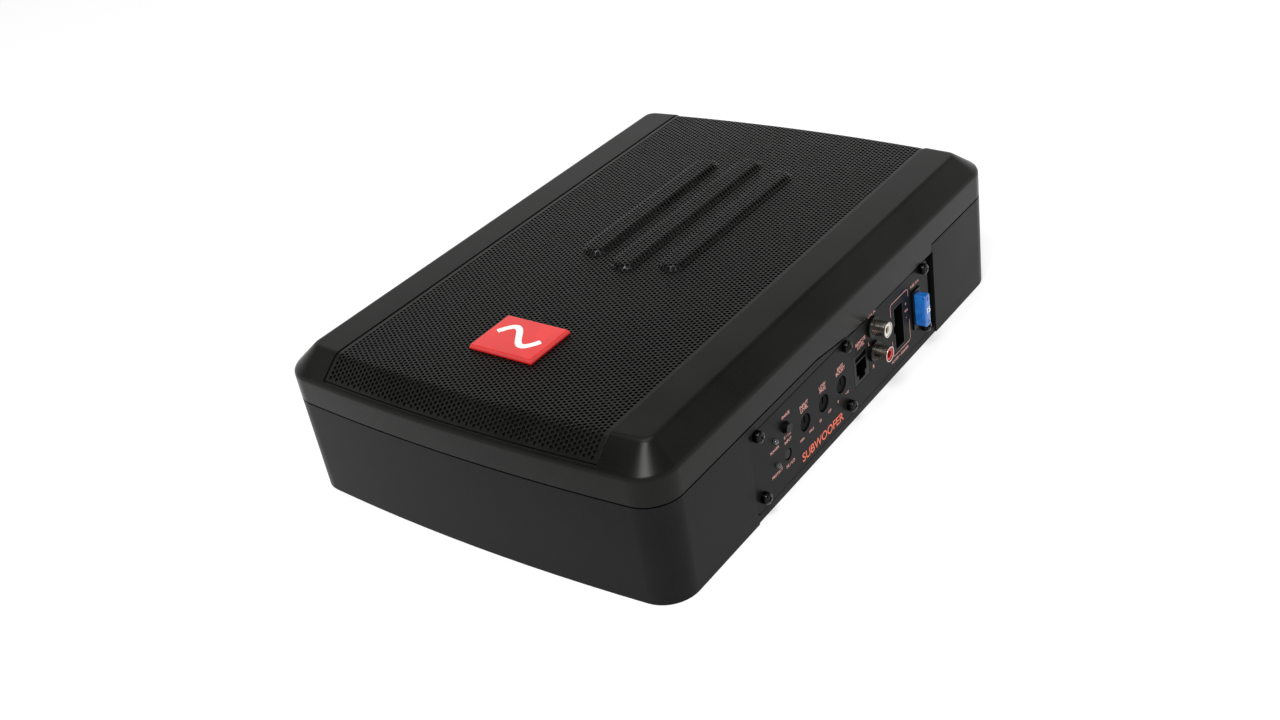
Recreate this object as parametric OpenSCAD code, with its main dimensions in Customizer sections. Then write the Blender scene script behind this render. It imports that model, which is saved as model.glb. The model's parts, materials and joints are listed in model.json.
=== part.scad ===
/* [Body] */
// Length of the body from end to end, at the middle of its bowed ends
body_l = 340; // [300:1:420]
// Width of the body at the seam
body_w = 238.2; // [220:0.2:300]
// Height of the body, without the raised figures on the grille
body_h = 81.8; // [78:0.2:105]
// Rounding of the body's corners in plan
corner_r = 18; // [17:1:30]
// How far the middle of each end bows outwards
end_bow = 5.4; // [0:0.1:9]
// How far the pan's foot is set in from the seam, by its draft
pan_draft = 0.2; // [0:0.1:3]
// Thickness of the pan's cast walls and floor
pan_wall = 3.5; // [3:0.1:5]
// Thickness of the moulded cover
cover_wall = 3.2; // [2.5:0.1:4.5]
// Height of the cover above the seam
cover_h = 26.3; // [24:0.1:32]
// Drop of the bevel round the cover's top
bevel_drop = 11.2; // [8:0.1:12]
// Run of the bevel at the two ends
bevel_run_x = 14; // [9:0.1:15]
// Run of the bevel along the two sides
bevel_run_y = 12.5; // [9:0.1:14]
// Thickness of the gasket in the seam
seam_gap = 0.8; // [0.5:0.1:1.5]

/* [Grille] */
// Half of the grille's width
grille_half_w = 86.5; // [82:0.1:95]
// Thickness of the perforated sheet
grille_t = 1.0; // [0.8:0.1:1.5]
// How far the sheet lies below the cover's top
grille_sunk = 0.5; // [0.3:0.1:1]
// Gap round the sheet
grille_gap = 0.5; // [0.3:0.1:1]
// How far down each end the sheet folds
grille_fold = 9.3; // [6:0.1:10]
// Height of the raised bars pressed into the sheet
bar_rise = 2.4; // [1.5:0.1:3]
// Width of one raised bar
bar_w = 17; // [12:0.5:20]
// Length of the longest raised bar
bar_l = 138; // [100:1:150]

/* [Badge] */
// Size of the badge along the body
badge_x = 31; // [24:1:36]
// Size of the badge across the body
badge_y = 40; // [30:1:50]
// Thickness of the badge
badge_t = 2.6; // [2:0.1:4]

/* [Driver] */
// Half length of the driver's oval flange
driver_a = 111; // [105:1:120]
// Half width of the driver's oval flange
driver_b = 78; // [72:1:84]
// Width of the flange that the screws go through
flange_w = 10; // [8:0.5:12]
// Width of the surround's roll
roll_w = 12; // [9:0.5:14]
// Outer radius of the magnet
magnet_r = 48; // [40:1:52]
// Thickness of the magnet
magnet_t = 14; // [10:1:16]
// Outer radius of the voice coil's winding
coil_r = 19.4; // [17:0.1:21]
// Travel of the cone each way
cone_travel = 7; // [3:0.5:8]

/* [Control panel] */
// Length of the panel's plate
panel_l = 188; // [184:1:200]
// Middle of the panel along the body
panel_x = -1.5; // [-8:0.5:8]
// Open gap between the panel's plate and its recess, at the fuse's end
end_gap = 6; // [2:0.5:8]
// Thickness of the panel's plate
plate_t = 1.6; // [1:0.1:2]
// How far the panel's face is set in from the seam's edge
panel_setback = 0.9; // [0.4:0.1:3]
// Distance from one panel screw to the next along the panel
screw_pitch = 84.4; // [83:0.1:88]
// Radius of the panel screws' heads
screw_head_r = 3.1; // [2.4:0.1:3.4]
// Height of the panel screws' heads
screw_head_h = 3.8; // [2:0.1:5]
// Distance from one knob to the next
knob_pitch = 18; // [16:0.1:19]
// Radius of a knob
knob_r = 4.1; // [3.4:0.1:4.4]
// Gap between a knob and the hole it turns in
knob_gap = 0.6; // [0.4:0.1:1]
// Radius of a knob's shaft
shaft_r = 3; // [2:0.1:3.2]
// Radius of a push button
button_r = 2.7; // [2:0.1:3.2]
// Travel of a push button
button_travel = 3; // [2:0.1:3.5]
// Radius of an indicator lens
led_r = 1.5; // [1:0.1:2]
// Outer radius of a phono socket's shell
phono_r = 4.15; // [4:0.05:4.3]
// How far a phono socket stands out of the panel
phono_out = 9.5; // [8:0.1:11]
// Distance between the two phono sockets
phono_pitch = 14.8; // [13:0.1:15]
// Width of the blade fuse's body
fuse_w = 19.1; // [18:0.1:20]
// Thickness of the blade fuse's body
fuse_t = 5.1; // [4.5:0.1:5.5]
// How far the fuse stands out of the panel
fuse_out = 7.5; // [4:0.1:8]

/* [Fixings] */
// Spacing of the bracket inserts along the body
insert_dx = 260; // [240:1:262]
// Spacing of the bracket inserts across the body
insert_dy = 150; // [130:1:170]
// Radius of the bore in a bracket insert
insert_bore_r = 2.1; // [2:0.05:2.6]
// Radius of the long case screws
case_screw_r = 2; // [1.5:0.1:2.4]

/* [Hidden] */

$fn = 48;
eps = 0.01;
slip = 0.05;
tan_half = tan(22.5);

seam_z = body_h - cover_h;
pan_top = seam_z - seam_gap / 2;
cover_foot = seam_z + seam_gap / 2;
bevel_z = body_h - bevel_drop;

end_steps = 6;
corner_steps = 10;
oval_steps = 56;

deck_t = 3;
deck_top = body_h - 15;
deck_z = deck_top - deck_t;
motor_gap = 2.5;
yoke_t = 5;
plate_thick = 6;
yoke_z = pan_wall + motor_gap;
magnet_z = yoke_z + yoke_t;
top_plate_z = magnet_z + magnet_t;
seat_z = top_plate_z + plate_thick;
seat_t = 2;
ledge_z = seat_z + 12;
neck_z = ledge_z + 4;
flange_t = 2.5;
rim_z = deck_top + flange_t;
former_r = coil_r - 1.2;
former_t = 0.4;
pole_r = former_r - former_t - 0.5;
gap_r = coil_r + 1;
basket_t = 1.8;
throat_a = driver_a - flange_w;
throat_b = driver_b - flange_w;
cone_a = throat_a - 2 - roll_w;
cone_b = throat_b - 2 - roll_w;
cone_t = 1;
ledge_r = magnet_r + 4;
ledge_w = 6;

panel_y = -(body_w / 2 - panel_setback);
plate_back = panel_y + plate_t;
panel_foot = 4.4;
pocket_top = seam_z - 4.5;
plate_gap = 0.3;
corner_p = 3;
plate_z0 = panel_foot;
plate_z1 = pocket_top - 1.5;
pocket_x0 = panel_x - panel_l / 2 - plate_gap;
pocket_x1 = panel_x + panel_l / 2 + plate_gap;
plate_x1 = pocket_x1 - end_gap;
backing_y = plate_back + 3.5;
low_row = plate_z0 + 6.8;
high_row = pocket_top - 4;
row_mid = (plate_z0 + pocket_top - plate_gap) / 2;
screw_mid = panel_x - 2.9;
screw_x = [screw_mid - screw_pitch, screw_mid, screw_mid + screw_pitch];

knob_x = panel_x - 9;
knob_z = row_mid;
gain_x = knob_x - 2 * knob_pitch;
crossover_x = knob_x - knob_pitch;
boost_x = knob_x;
button_x = panel_x - 62.8;
phase_z = row_mid + 8.7;
input_z = row_mid - 7.4;
led_x = panel_x - 72.6;
led_z = row_mid - 0.4;
led_dz = 14;
remote_x = panel_x + 11.8;
remote_w = 15.6;
remote_h = 17.8;
remote_z = row_mid - 1.4;
phono_x = panel_x + 25.5;
phono_low_z = row_mid;
phono_wall = 1.4;
power_x = panel_x + 53.9;
power_w = 11.6;
power_h = 27;
power_z = row_mid - 1;
fuse_x = panel_x + 73.3;
fuse_z = row_mid - 0.6;

board_z = pan_wall + 6;
board_t = 1.6;
board_top = board_z + board_t;
board_half = body_l / 2 - 34;
bar_y = -(magnet_r + 10);
heat_t = 4;
board_y0 = backing_y + 0.5;
board_y1 = bar_y - heat_t - 0.4;
daughter_y = plate_back + 15.6;

post_r = 5.5;
post_x = body_l / 2 - 24;
post_y = body_w / 2 - 22;
post_points = [[post_x, post_y], [-post_x, post_y], [post_x, -post_y], [-post_x, -post_y],
    [60, body_w / 2 - 16], [-60, body_w / 2 - 16]];
insert_r = 3.5;
insert_h = 7;

// ---- shared shapes

function reversed(v) = [for (i = [len(v) - 1:-1:0]) v[i]];

// Plan of the body set in by ix at the ends and iy at the sides: bowed ends, straight sides, round corners
function quarter(ix, iy, r) = let(
    l2 = body_l / 2 - ix,
    w2 = body_w / 2 - iy,
    yc = w2 - r,
    yp = yc + r * sin(atan(2 * end_bow * yc / (w2 * w2))),
    a = atan(2 * end_bow * yp / (w2 * w2)),
    xc = l2 - end_bow * pow(yp / w2, 2) - r * cos(a)
) concat(
    [for (i = [0:end_steps - 1]) let(y = yp * i / end_steps) [l2 - end_bow * pow(y / w2, 2), y]],
    [for (i = [0:corner_steps]) let(t = a + (90 - a) * i / corner_steps) [xc + r * cos(t), yc + r * sin(t)]]
);

function plan(ix, iy, r) = let(
    q = quarter(ix, iy, r),
    tail = [for (i = [1:len(q) - 1]) q[i]]
) concat(
    q,
    [for (p = reversed(q)) [-p[0], p[1]]],
    [for (p = tail) [-p[0], -p[1]]],
    [for (p = reversed(tail)) [p[0], -p[1]]]
);

// Closed solid through a stack of outlines, each given as [height, outline]
module loft(levels) {
    n = len(levels[0][1]);
    top = len(levels) - 1;
    points = [for (l = levels) for (p = l[1]) [p[0], p[1], l[0]]];
    sides = [for (k = [0:top - 1]) for (i = [0:n - 1]) let(
        a = k * n + i,
        b = k * n + (i + 1) % n
    ) each [[a, b + n, b], [a, a + n, b + n]]];
    foot = [for (i = [0:n - 1]) i];
    head = [for (i = [n - 1:-1:0]) top * n + i];
    polyhedron(points, concat(sides, [foot, head]));
}

// Outer form of the cover, shrunk by d on every face
module cover_form(d, foot) {
    lean = tan_half * d;
    loft([
        [foot, plan(d, d, corner_r - d)],
        [bevel_z - lean, plan(d, d, corner_r - d)],
        [body_h - d, plan(bevel_run_x + lean, bevel_run_y + lean, corner_r - bevel_run_y - lean)]
    ]);
}

// Form of the pan between two heights, shrunk by d
module pan_form(d, z0, z1) {
    low = pan_draft * (1 - z0 / seam_z) + d;
    high = pan_draft * (1 - z1 / seam_z) + d;
    loft([[z0, plan(low, low, corner_r - low)], [z1, plan(high, high, corner_r - high)]]);
}

module box(x0, x1, y0, y1, z0, z1) {
    translate([x0, y0, z0])
        cube([x1 - x0, y1 - y0, z1 - z0]);
}

// A round bar along Y, from y0 to y1
module rod_y(x, z, r, y0, y1) {
    translate([x, y0, z])
        rotate([-90, 0, 0])
            cylinder(r = r, h = y1 - y0);
}

module tube_y(x, z, r_out, r_in, y0, y1) {
    difference() {
        rod_y(x, z, r_out, y0, y1);
        rod_y(x, z, r_in, y0 - 1, y1 + 1);
    }
}

function oval(a, b) = [for (i = [0:oval_steps - 1]) let(t = 360 * i / oval_steps) [a * cos(t), b * sin(t)]];

module oval_slab(a, b, z, t) {
    translate([0, 0, z])
        linear_extrude(t)
            polygon(oval(a, b));
}

// Ring whose section is a closed list of [half length, half width, height]
module oval_ring(section) {
    m = len(section);
    points = [for (i = [0:oval_steps - 1]) let(t = 360 * i / oval_steps)
        for (s = section) [s[0] * cos(t), s[1] * sin(t), s[2]]];
    faces = [for (i = [0:oval_steps - 1]) for (k = [0:m - 1]) let(
        a = i * m + k,
        b = i * m + (k + 1) % m,
        c = ((i + 1) % oval_steps) * m + (k + 1) % m,
        d = ((i + 1) % oval_steps) * m + k
    ) each [[a, b, c], [a, c, d]]];
    polyhedron(points, faces);
}

// Wire of radius r through the given points
function unit(v) = v / norm(v);
function heading(p, i) = unit(p[min(i + 1, len(p) - 1)] - p[max(i - 1, 0)]);
module wire(path, r, sides = 8) {
    n = len(path);
    points = [for (i = [0:n - 1]) let(
        h = heading(path, i),
        u = unit(cross(h, abs(h[2]) > 0.9 ? [1, 0, 0] : [0, 0, 1])),
        v = cross(u, h)
    ) for (k = [0:sides - 1]) path[i] + r * (cos(360 * k / sides) * u + sin(360 * k / sides) * v)];
    rings = [for (i = [0:n - 2]) for (k = [0:sides - 1]) let(
        a = i * sides + k,
        b = i * sides + (k + 1) % sides
    ) each [[a, b, b + sides], [a, b + sides, a + sides]]];
    first = [for (k = [sides - 1:-1:0]) k];
    last = [for (k = [0:sides - 1]) (n - 1) * sides + k];
    polyhedron(points, concat(rings, [first, last]));
}

// ---- casing

// Where the cover's edge dips over the sockets, as a wedge through the side wall
module dip(thick, grow) {
    dip_x0 = panel_x - 38;
    dip_x1 = panel_x + 8;
    dip_x2 = panel_x + 93;
    dip_x3 = panel_x + 94;
    translate([0, -body_w / 2 + thick, 0])
        rotate([90, 0, 0])
            linear_extrude(thick + 5)
                polygon([[dip_x0 - grow, cover_foot + eps], [dip_x1, pocket_top - grow],
                    [dip_x2, pocket_top - grow], [dip_x3 + grow, cover_foot + eps]]);
}

module bottom_pan() {
    color("#34363a")
    difference() {
        union() {
            difference() {
                pan_form(0, 0, pan_top);
                pan_form(pan_wall, pan_wall, pan_top + 1);
            }
            intersection() {
                pan_form(0, 0, pan_top);
                box(pocket_x0 - 3, pocket_x1 + 3, -body_w / 2, backing_y, 0, pocket_top + 3);
            }
            for (p = post_points)
                translate([p[0], p[1], 1])
                    cylinder(r = post_r, h = pan_top - 1);
            for (p = insert_points())
                translate([p[0], p[1], 1])
                    cylinder(r = insert_r + 2, h = insert_h + 0.4);
            for (x = [-1, 1]) for (y = board_screw_rows())
                translate([x * board_screw_x(), y, 1])
                    cylinder(r = 3.2, h = board_z - 1);
        }
        box(pocket_x0, pocket_x1, -body_w, plate_back, panel_foot - plate_gap, pocket_top);
        box(plate_x1, pocket_x1, -body_w, backing_y - 1.2, panel_foot, pocket_top);
        box(pocket_x0, pocket_x1, -body_w, panel_y, -1, panel_foot);
        dip(1.3, 0.4);
        difference() {
            box(led_x - 4, fuse_x + 4.8, plate_back - 1, backing_y + 1, board_z - 0.5, pocket_top - 2.4);
            for (z = [low_row, high_row])
                box(screw_mid - 3.6, screw_mid + 3.6, -body_w, 0, z < row_mid ? 0 : z - 4,
                    z < row_mid ? z + 4 : seam_z);
        }
        for (x = screw_x) for (z = [low_row, high_row])
            rod_y(x, z, 1.5, plate_back - 1, backing_y + 1);
        for (p = post_points)
            translate([p[0], p[1], 0]) {
                translate([0, 0, -1])
                    cylinder(r = case_screw_r + 0.2, h = body_h);
                translate([0, 0, -1])
                    cylinder(r = case_screw_r + 2.2, h = 5);
            }
        for (p = insert_points())
            translate([p[0], p[1], -1])
                cylinder(r = insert_r, h = insert_h + 1);
        for (x = [-1, 1]) for (y = board_screw_rows())
            translate([x * board_screw_x(), y, pan_wall])
                cylinder(r = 1.25, h = board_z);
    }
}

function insert_points() = [for (x = [-1, 1]) for (y = [-1, 1]) [x * insert_dx / 2, y * insert_dy / 2]];
function board_screw_x() = board_half - 5;
function board_screw_rows() = [board_y0 + 5, board_y1 - 5];

module top_cover() {
    window_x = body_l / 2 - bevel_run_x - 5;
    color("#2e2f31")
    difference() {
        union() {
            difference() {
                cover_form(0, cover_foot);
                cover_form(cover_wall, cover_foot - 1);
            }
            difference() {
                intersection() {
                    cover_form(cover_wall - 0.5, cover_foot);
                    box(-body_l, body_l, -body_w, body_w, deck_z, deck_top);
                }
                oval_slab(throat_a + 0.5, throat_b + 0.5, deck_z - 1, deck_t + 2);
                for (p = driver_screw_points())
                    translate([p[0], p[1], deck_z - 1])
                        cylinder(r = 1.5, h = deck_t + 2);
            }
            for (p = post_points)
                translate([p[0], p[1], cover_foot])
                    cylinder(r = post_r, h = deck_z - cover_foot + 1);
            intersection() {
                cover_form(0, cover_foot - 6);
                dip(1.1, 0);
            }
        }
        intersection() {
            difference() {
                cover_form(-1, cover_foot);
                cover_form(grille_sunk + grille_t, cover_foot);
            }
            box(-body_l, body_l, -grille_half_w - grille_gap, grille_half_w + grille_gap,
                body_h - grille_fold - grille_gap, body_h + 5);
        }
        box(-window_x, window_x, -grille_half_w + 5, grille_half_w - 5, body_h - 8, body_h + 1);
        for (p = post_points)
            translate([p[0], p[1], cover_foot - 1])
                cylinder(r = case_screw_r + slip, h = deck_z - cover_foot + 1);
    }
}

module seam_gasket() {
    inner = pan_wall - 0.2;
    color("#151515")
    difference() {
        translate([0, 0, pan_top])
            linear_extrude(seam_gap)
                polygon(plan(1.4, 1.4, corner_r - 1.4));
        translate([0, 0, pan_top - 1])
            linear_extrude(seam_gap + 2)
                polygon(plan(inner, inner, corner_r - inner));
    }
}

// Raised figure on the grille: three round-ended bars side by side, stepped in length
bar_gap = 8;
bar_x = 39;
module bar(i, grow, z, t) {
    half = (bar_l / 2 - 16 * abs(i)) - bar_w / 2;
    translate([bar_x, i * (bar_w + bar_gap), z])
        linear_extrude(t)
            union() {
                square([2 * half, bar_w + 2 * grow], center = true);
                for (s = [-1, 1])
                    translate([s * half, 0])
                        circle(r = bar_w / 2 + grow);
            }
}

module grille() {
    sheet_top = body_h - grille_sunk;
    color("#1b1c1d")
    difference() {
        union() {
            intersection() {
                difference() {
                    cover_form(grille_sunk, cover_foot);
                    cover_form(grille_sunk + grille_t, cover_foot - 1);
                }
                box(-body_l, body_l, -grille_half_w, grille_half_w, body_h - grille_fold, body_h);
            }
            for (i = [-1:1])
                bar(i, 0, sheet_top - grille_t / 2, bar_rise + grille_t / 2);
        }
        for (i = [-1:1])
            bar(i, -grille_t, sheet_top - grille_t - 1, bar_rise + 1);
    }
}

badge_inset = 63.6;
badge_cx = badge_inset - body_l / 2;
badge_cy = 3;
badge_z = body_h - grille_sunk;
module badge_plate() {
    color("#d8232a")
    translate([badge_cx, badge_cy, badge_z])
        hull() {
            translate([0, 0, 0.5])
                cube([badge_x, badge_y, 1], center = true);
            translate([0, 0, badge_t - 0.5])
                cube([badge_x - 1.6, badge_y - 1.6, 1], center = true);
        }
}

// One full wave, as a band of even width along the badge
module badge_wave() {
    steps = 40;
    half = badge_y / 2 - 6;
    swing = badge_x / 4.6;
    band = 1.7;
    function mid(t) = [swing * sin(t * 180), t * half];
    function side(t, s) = let(
        slope = swing * PI * cos(t * 180) / half,
        n = [1, -slope] / norm([1, slope])
    ) mid(t) + s * band * n;
    color("#f4f2ee")
    translate([badge_cx, badge_cy, badge_z + badge_t])
        linear_extrude(0.3)
            polygon(concat([for (i = [0:steps]) side(2 * i / steps - 1, 1)],
                [for (i = [steps:-1:0]) side(2 * i / steps - 1, -1)]));
}

module case_screws() {
    color("#2a2a2a")
    for (p = post_points)
        translate([p[0], p[1], 1.4])
            difference() {
                union() {
                    cylinder(r = case_screw_r + 1.8, h = 2.6);
                    cylinder(r = case_screw_r, h = deck_z - 2.6);
                }
                translate([0, 0, -1])
                    cylinder(r = 1.4, h = 2.6, $fn = 6);
            }
}

module bracket_inserts() {
    color("#b5913f")
    for (p = insert_points())
        translate([p[0], p[1], 0])
            difference() {
                cylinder(r = insert_r, h = insert_h);
                translate([0, 0, -1])
                    cylinder(r = insert_bore_r, h = insert_h + 2);
            }
}

// ---- control panel

// Plate with rounded corners
module plate_blank() {
    translate([0, plate_back, 0])
        rotate([90, 0, 0])
            linear_extrude(plate_t)
                hull()
                    for (x = [pocket_x0 + plate_gap + corner_p, plate_x1 - corner_p])
                        for (z = [plate_z0 + corner_p, plate_z1 - corner_p])
                            translate([x, z])
                                circle(corner_p, $fn = 20);
}

module control_panel() {
    color("#2b2c2e")
    difference() {
        plate_blank();
        for (x = screw_x) for (z = [low_row, high_row])
            rod_y(x, z, 1.75, panel_y - 1, plate_back + 1);
        for (x = [gain_x, crossover_x, boost_x])
            rod_y(x, knob_z, knob_r + knob_gap, panel_y - 1, plate_back + 1);
        for (z = [phase_z, input_z])
            rod_y(button_x, z, button_r + 0.4, panel_y - 1, plate_back + 1);
        for (s = [-0.5, 0.5])
            rod_y(led_x, led_z + s * led_dz, led_r + 0.1, panel_y - 1, plate_back + 1);
        box(remote_x - remote_w / 2 - 0.2, remote_x + remote_w / 2 + 0.2, panel_y - 1, plate_back + 1,
            remote_z - remote_h / 2 - 0.2, remote_z + remote_h / 2 + 0.2);
        for (z = phono_rows())
            rod_y(phono_x, z, phono_r + phono_wall + 0.2, panel_y - 1, plate_back + 1);
        box(power_x - power_w / 2 - 0.2, power_x + power_w / 2 + 0.2, panel_y - 1, plate_back + 1,
            power_z - power_h / 2 - 0.2, power_z + power_h / 2 + 0.2);
        box(fuse_x - fuse_t / 2 - 2.1, fuse_x + fuse_t / 2 + 2.1, panel_y - 1, plate_back + 1,
            fuse_z - fuse_w / 2 - 2.2, fuse_z + fuse_w / 2 + 2.2);
    }
}

function phono_rows() = [phono_low_z, phono_low_z + phono_pitch];

module panel_screws() {
    color("#1a1a1a")
    for (x = screw_x) for (z = [low_row, high_row])
        difference() {
            union() {
                rod_y(x, z, screw_head_r, panel_y - screw_head_h, panel_y);
                rod_y(x, z, 1.45, panel_y - 1, backing_y - 0.5);
            }
            rod_y(x, z, 1.3, panel_y - screw_head_h - 1, panel_y - screw_head_h + 1.8, $fn = 6);
        }
}

knob_front = panel_y + 0.6;
knob_back = plate_back + 6.4;
pot_front = plate_back + 7.6;
module knob(x) {
    color("#202122")
    difference() {
        rod_y(x, knob_z, knob_r, knob_front, knob_back);
        rod_y(x, knob_z, shaft_r + slip, knob_front + 2, knob_back + 1);
        box(x - 0.5, x + 0.5, knob_front - 1, knob_front + 1, knob_z - 0.4, knob_z + knob_r - 0.6);
    }
}

module shaft(x) {
    color("#b9bcc0")
    rod_y(x, knob_z, shaft_r, knob_front + 2, pot_front + 5);
}

module gain_knob() knob(gain_x);
module crossover_knob() knob(crossover_x);
module boost_knob() knob(boost_x);
module gain_shaft() shaft(gain_x);
module crossover_shaft() shaft(crossover_x);
module boost_shaft() shaft(boost_x);

module potentiometers() {
    color("#3c5a46")
    for (x = [gain_x, crossover_x, boost_x])
        difference() {
            box(x - 5, x + 5, pot_front, daughter_y, knob_z - 6, knob_z + 5);
            rod_y(x, knob_z, shaft_r + slip, pot_front - 1, pot_front + 5.5);
        }
}

switch_front = plate_back + 3;
module button(z, out) {
    color("#1c1c1d")
    rod_y(button_x, z, button_r, panel_y - out, switch_front + 7 - out);
}

button_out = 2.6;
module phase_button() button(phase_z, button_out);
module input_button() button(input_z, button_out - button_travel);

module button_switches() {
    color("#26292c")
    for (z = [phase_z, input_z])
        difference() {
            box(button_x - 4, button_x + 4, switch_front, daughter_y, z - 4, z + 4);
            rod_y(button_x, z, button_r + 0.2, switch_front - 1, switch_front + 8);
        }
}

module indicator_lenses() {
    color("#e9eef0")
    for (s = [-0.5, 0.5])
        translate([led_x, 0, led_z + s * led_dz])
            union() {
                rod_y(0, 0, led_r, panel_y - 0.4, daughter_y);
                translate([0, panel_y - 0.4, 0])
                    intersection() {
                        sphere(r = led_r);
                        box(-led_r, led_r, -led_r, 0.01, -led_r, led_r);
                    }
            }
}

remote_depth = 17;
module remote_socket() {
    x0 = remote_x - remote_w / 2;
    x1 = remote_x + remote_w / 2;
    z0 = remote_z - remote_h / 2;
    z1 = remote_z + remote_h / 2;
    mouth_w = 10.2;
    mouth_h = 7.4;
    color("#141415")
    difference() {
        union() {
            box(x0, x1, panel_y, panel_y + remote_depth, z0, z1);
            box(x0, x1, plate_back, panel_y + remote_depth, board_top, z1);
        }
        box(remote_x - mouth_w / 2, remote_x + mouth_w / 2, panel_y - 1, panel_y + 13,
            remote_z - mouth_h / 2, remote_z + mouth_h / 2);
        box(remote_x - 3.2, remote_x + 3.2, panel_y - 1, panel_y + 9, remote_z - mouth_h / 2 - 3.2, remote_z);
        box(remote_x - 5.6, remote_x + 5.6, panel_y - 1, panel_y + 1.2, remote_z + mouth_h / 2 + 1,
            z1 - 1.4);
    }
}

module remote_contacts() {
    color("#c9a24a")
    for (i = [-2.5:2.5])
        box(remote_x + i * 1.05 - 0.2, remote_x + i * 1.05 + 0.2, panel_y + 3, panel_y + 13,
            remote_z + 3.7 - 0.6, remote_z + 3.7);
}

phono_depth = 20;
phono_end = plate_back + 8;
collar_out = 1.6;
shell_t = 0.5;
contact_r = 1.65;
module phono_block() {
    half = phono_r + phono_wall;
    color("#121213")
    difference() {
        union() {
            box(phono_x - half, phono_x + half, plate_back, panel_y + phono_depth, board_top,
                phono_low_z + phono_pitch + half);
            for (z = phono_rows())
                rod_y(phono_x, z, half, panel_y - collar_out, plate_back + 1);
        }
        for (z = phono_rows())
            rod_y(phono_x, z, phono_r - 0.1 + slip, panel_y - 3, phono_end);
    }
}

module phono_shells() {
    color("#d5d2c8")
    for (z = phono_rows())
        difference() {
            union() {
                rod_y(phono_x, z, phono_r, panel_y - phono_out, panel_y - collar_out);
                rod_y(phono_x, z, phono_r - 0.1, panel_y - collar_out - 0.5, phono_end);
            }
            rod_y(phono_x, z, phono_r - shell_t, panel_y - phono_out - 1, phono_end + 1);
        }
}

module insulator(z) {
    tube_y(phono_x, z, phono_r - shell_t - slip, contact_r + 0.3 + slip, panel_y - phono_out + 0.4, phono_end);
}
module phono_insulator_white() color("#efece4") insulator(phono_low_z + phono_pitch);
module phono_insulator_red() color("#c8202a") insulator(phono_low_z);

module phono_contacts() {
    color("#c9a24a")
    for (z = phono_rows())
        tube_y(phono_x, z, contact_r + 0.3, contact_r, panel_y - phono_out + 1.4, phono_end);
}

power_depth = 16;
module power_socket() {
    x0 = power_x - power_w / 2;
    x1 = power_x + power_w / 2;
    z0 = power_z - power_h / 2;
    z1 = power_z + power_h / 2;
    color("#101011")
    difference() {
        union() {
            box(x0, x1, panel_y, panel_y + power_depth, z0, z1);
            box(x0, x1, plate_back, panel_y + power_depth, board_top, z1);
        }
        box(x0 + 1.2, x1 - 1.2, panel_y - 1, panel_y + 12, z0 + 1.2, z1 - 1.2);
        for (p = power_pin_points())
            box(p[0] - 0.45, p[0] + 0.45, panel_y + 11, panel_y + power_depth + 1, p[1] - 1.05, p[1] + 1.05);
        box(x0 - 1, x0 + 1.6, panel_y - 1, panel_y + 6, power_z - 2.2, power_z + 2.2);
    }
}

function power_pin_points() = [for (c = [-1, 1]) for (r = [-2:2]) [power_x + c * 2.3, power_z + r * 4.9]];

module power_pins() {
    color("#b8b6ae")
    for (p = power_pin_points())
        box(p[0] - 0.4, p[0] + 0.4, panel_y + 5, panel_y + power_depth + 2, p[1] - 1, p[1] + 1);
}

holder_depth = 19;
fuse_seat = 12.2 - fuse_out;
blade_in = 7;
module fuse_holder() {
    x0 = fuse_x - fuse_t / 2 - 1.9;
    x1 = fuse_x + fuse_t / 2 + 1.9;
    z0 = fuse_z - fuse_w / 2 - 2;
    z1 = fuse_z + fuse_w / 2 + 2;
    color("#0e0e0f")
    difference() {
        union() {
            box(x0, x1, panel_y - 1, panel_y + holder_depth, z0, z1);
            box(x0, x1, plate_back, panel_y + holder_depth, board_top, z1);
        }
        box(fuse_x - fuse_t / 2 - 0.35, fuse_x + fuse_t / 2 + 0.35, panel_y - 3, panel_y + fuse_seat + 0.4,
            fuse_z - fuse_w / 2 - 0.35, fuse_z + fuse_w / 2 + 0.35);
        for (s = [-1, 1])
            box(fuse_x - 1.9, fuse_x + 1.9, panel_y + fuse_seat, panel_y + fuse_seat + blade_in + 2.5,
                fuse_z + s * 7 - 3, fuse_z + s * 7 + 3);
    }
}

module fuse_clips() {
    color("#c4c2ba")
    for (s = [-1, 1]) for (t = [-1, 1])
        box(fuse_x + (t < 0 ? -1.4 : 0.8), fuse_x + (t < 0 ? -0.8 : 1.4), panel_y + fuse_seat + 1,
            panel_y + fuse_seat + blade_in + 2.5, fuse_z + s * 7 - 2.4, fuse_z + s * 7 + 2.4);
}

module fuse_body() {
    top = panel_y - fuse_out;
    color("#1f74c4")
    difference() {
        union() {
            box(fuse_x - fuse_t / 2, fuse_x + fuse_t / 2, top, top + 7.2,
                fuse_z - fuse_w / 2, fuse_z + fuse_w / 2);
            box(fuse_x - fuse_t / 2 + 0.7, fuse_x + fuse_t / 2 - 0.7, top + 7, panel_y + fuse_seat,
                fuse_z - fuse_w / 2 + 0.8, fuse_z + fuse_w / 2 - 0.8);
        }
        for (s = [-1, 1])
            box(fuse_x - 0.45, fuse_x + 0.45, top + 4, panel_y + fuse_seat + 1, fuse_z + s * 7 - 2.7,
                fuse_z + s * 7 + 2.7);
    }
}

module fuse_blades() {
    color("#d2d0c8")
    for (s = [-1, 1])
        box(fuse_x - 0.4, fuse_x + 0.4, panel_y - fuse_out + 4.1, panel_y + fuse_seat + blade_in,
            fuse_z + s * 7 - 2.6, fuse_z + s * 7 + 2.6);
}

// ---- amplifier

module main_board() {
    color("#1d5a34")
    difference() {
        box(-board_half, board_half, board_y0, board_y1, board_z, board_top);
        for (x = [-1, 1]) for (y = board_screw_rows())
            translate([x * board_screw_x(), y, board_z - 1])
                cylinder(r = 1.6, h = board_t + 2);
    }
}

module control_board() {
    color("#1d5a34")
    box(led_x - 3, boost_x + 6, daughter_y, daughter_y + board_t, board_top, high_row + 2);
}

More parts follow.
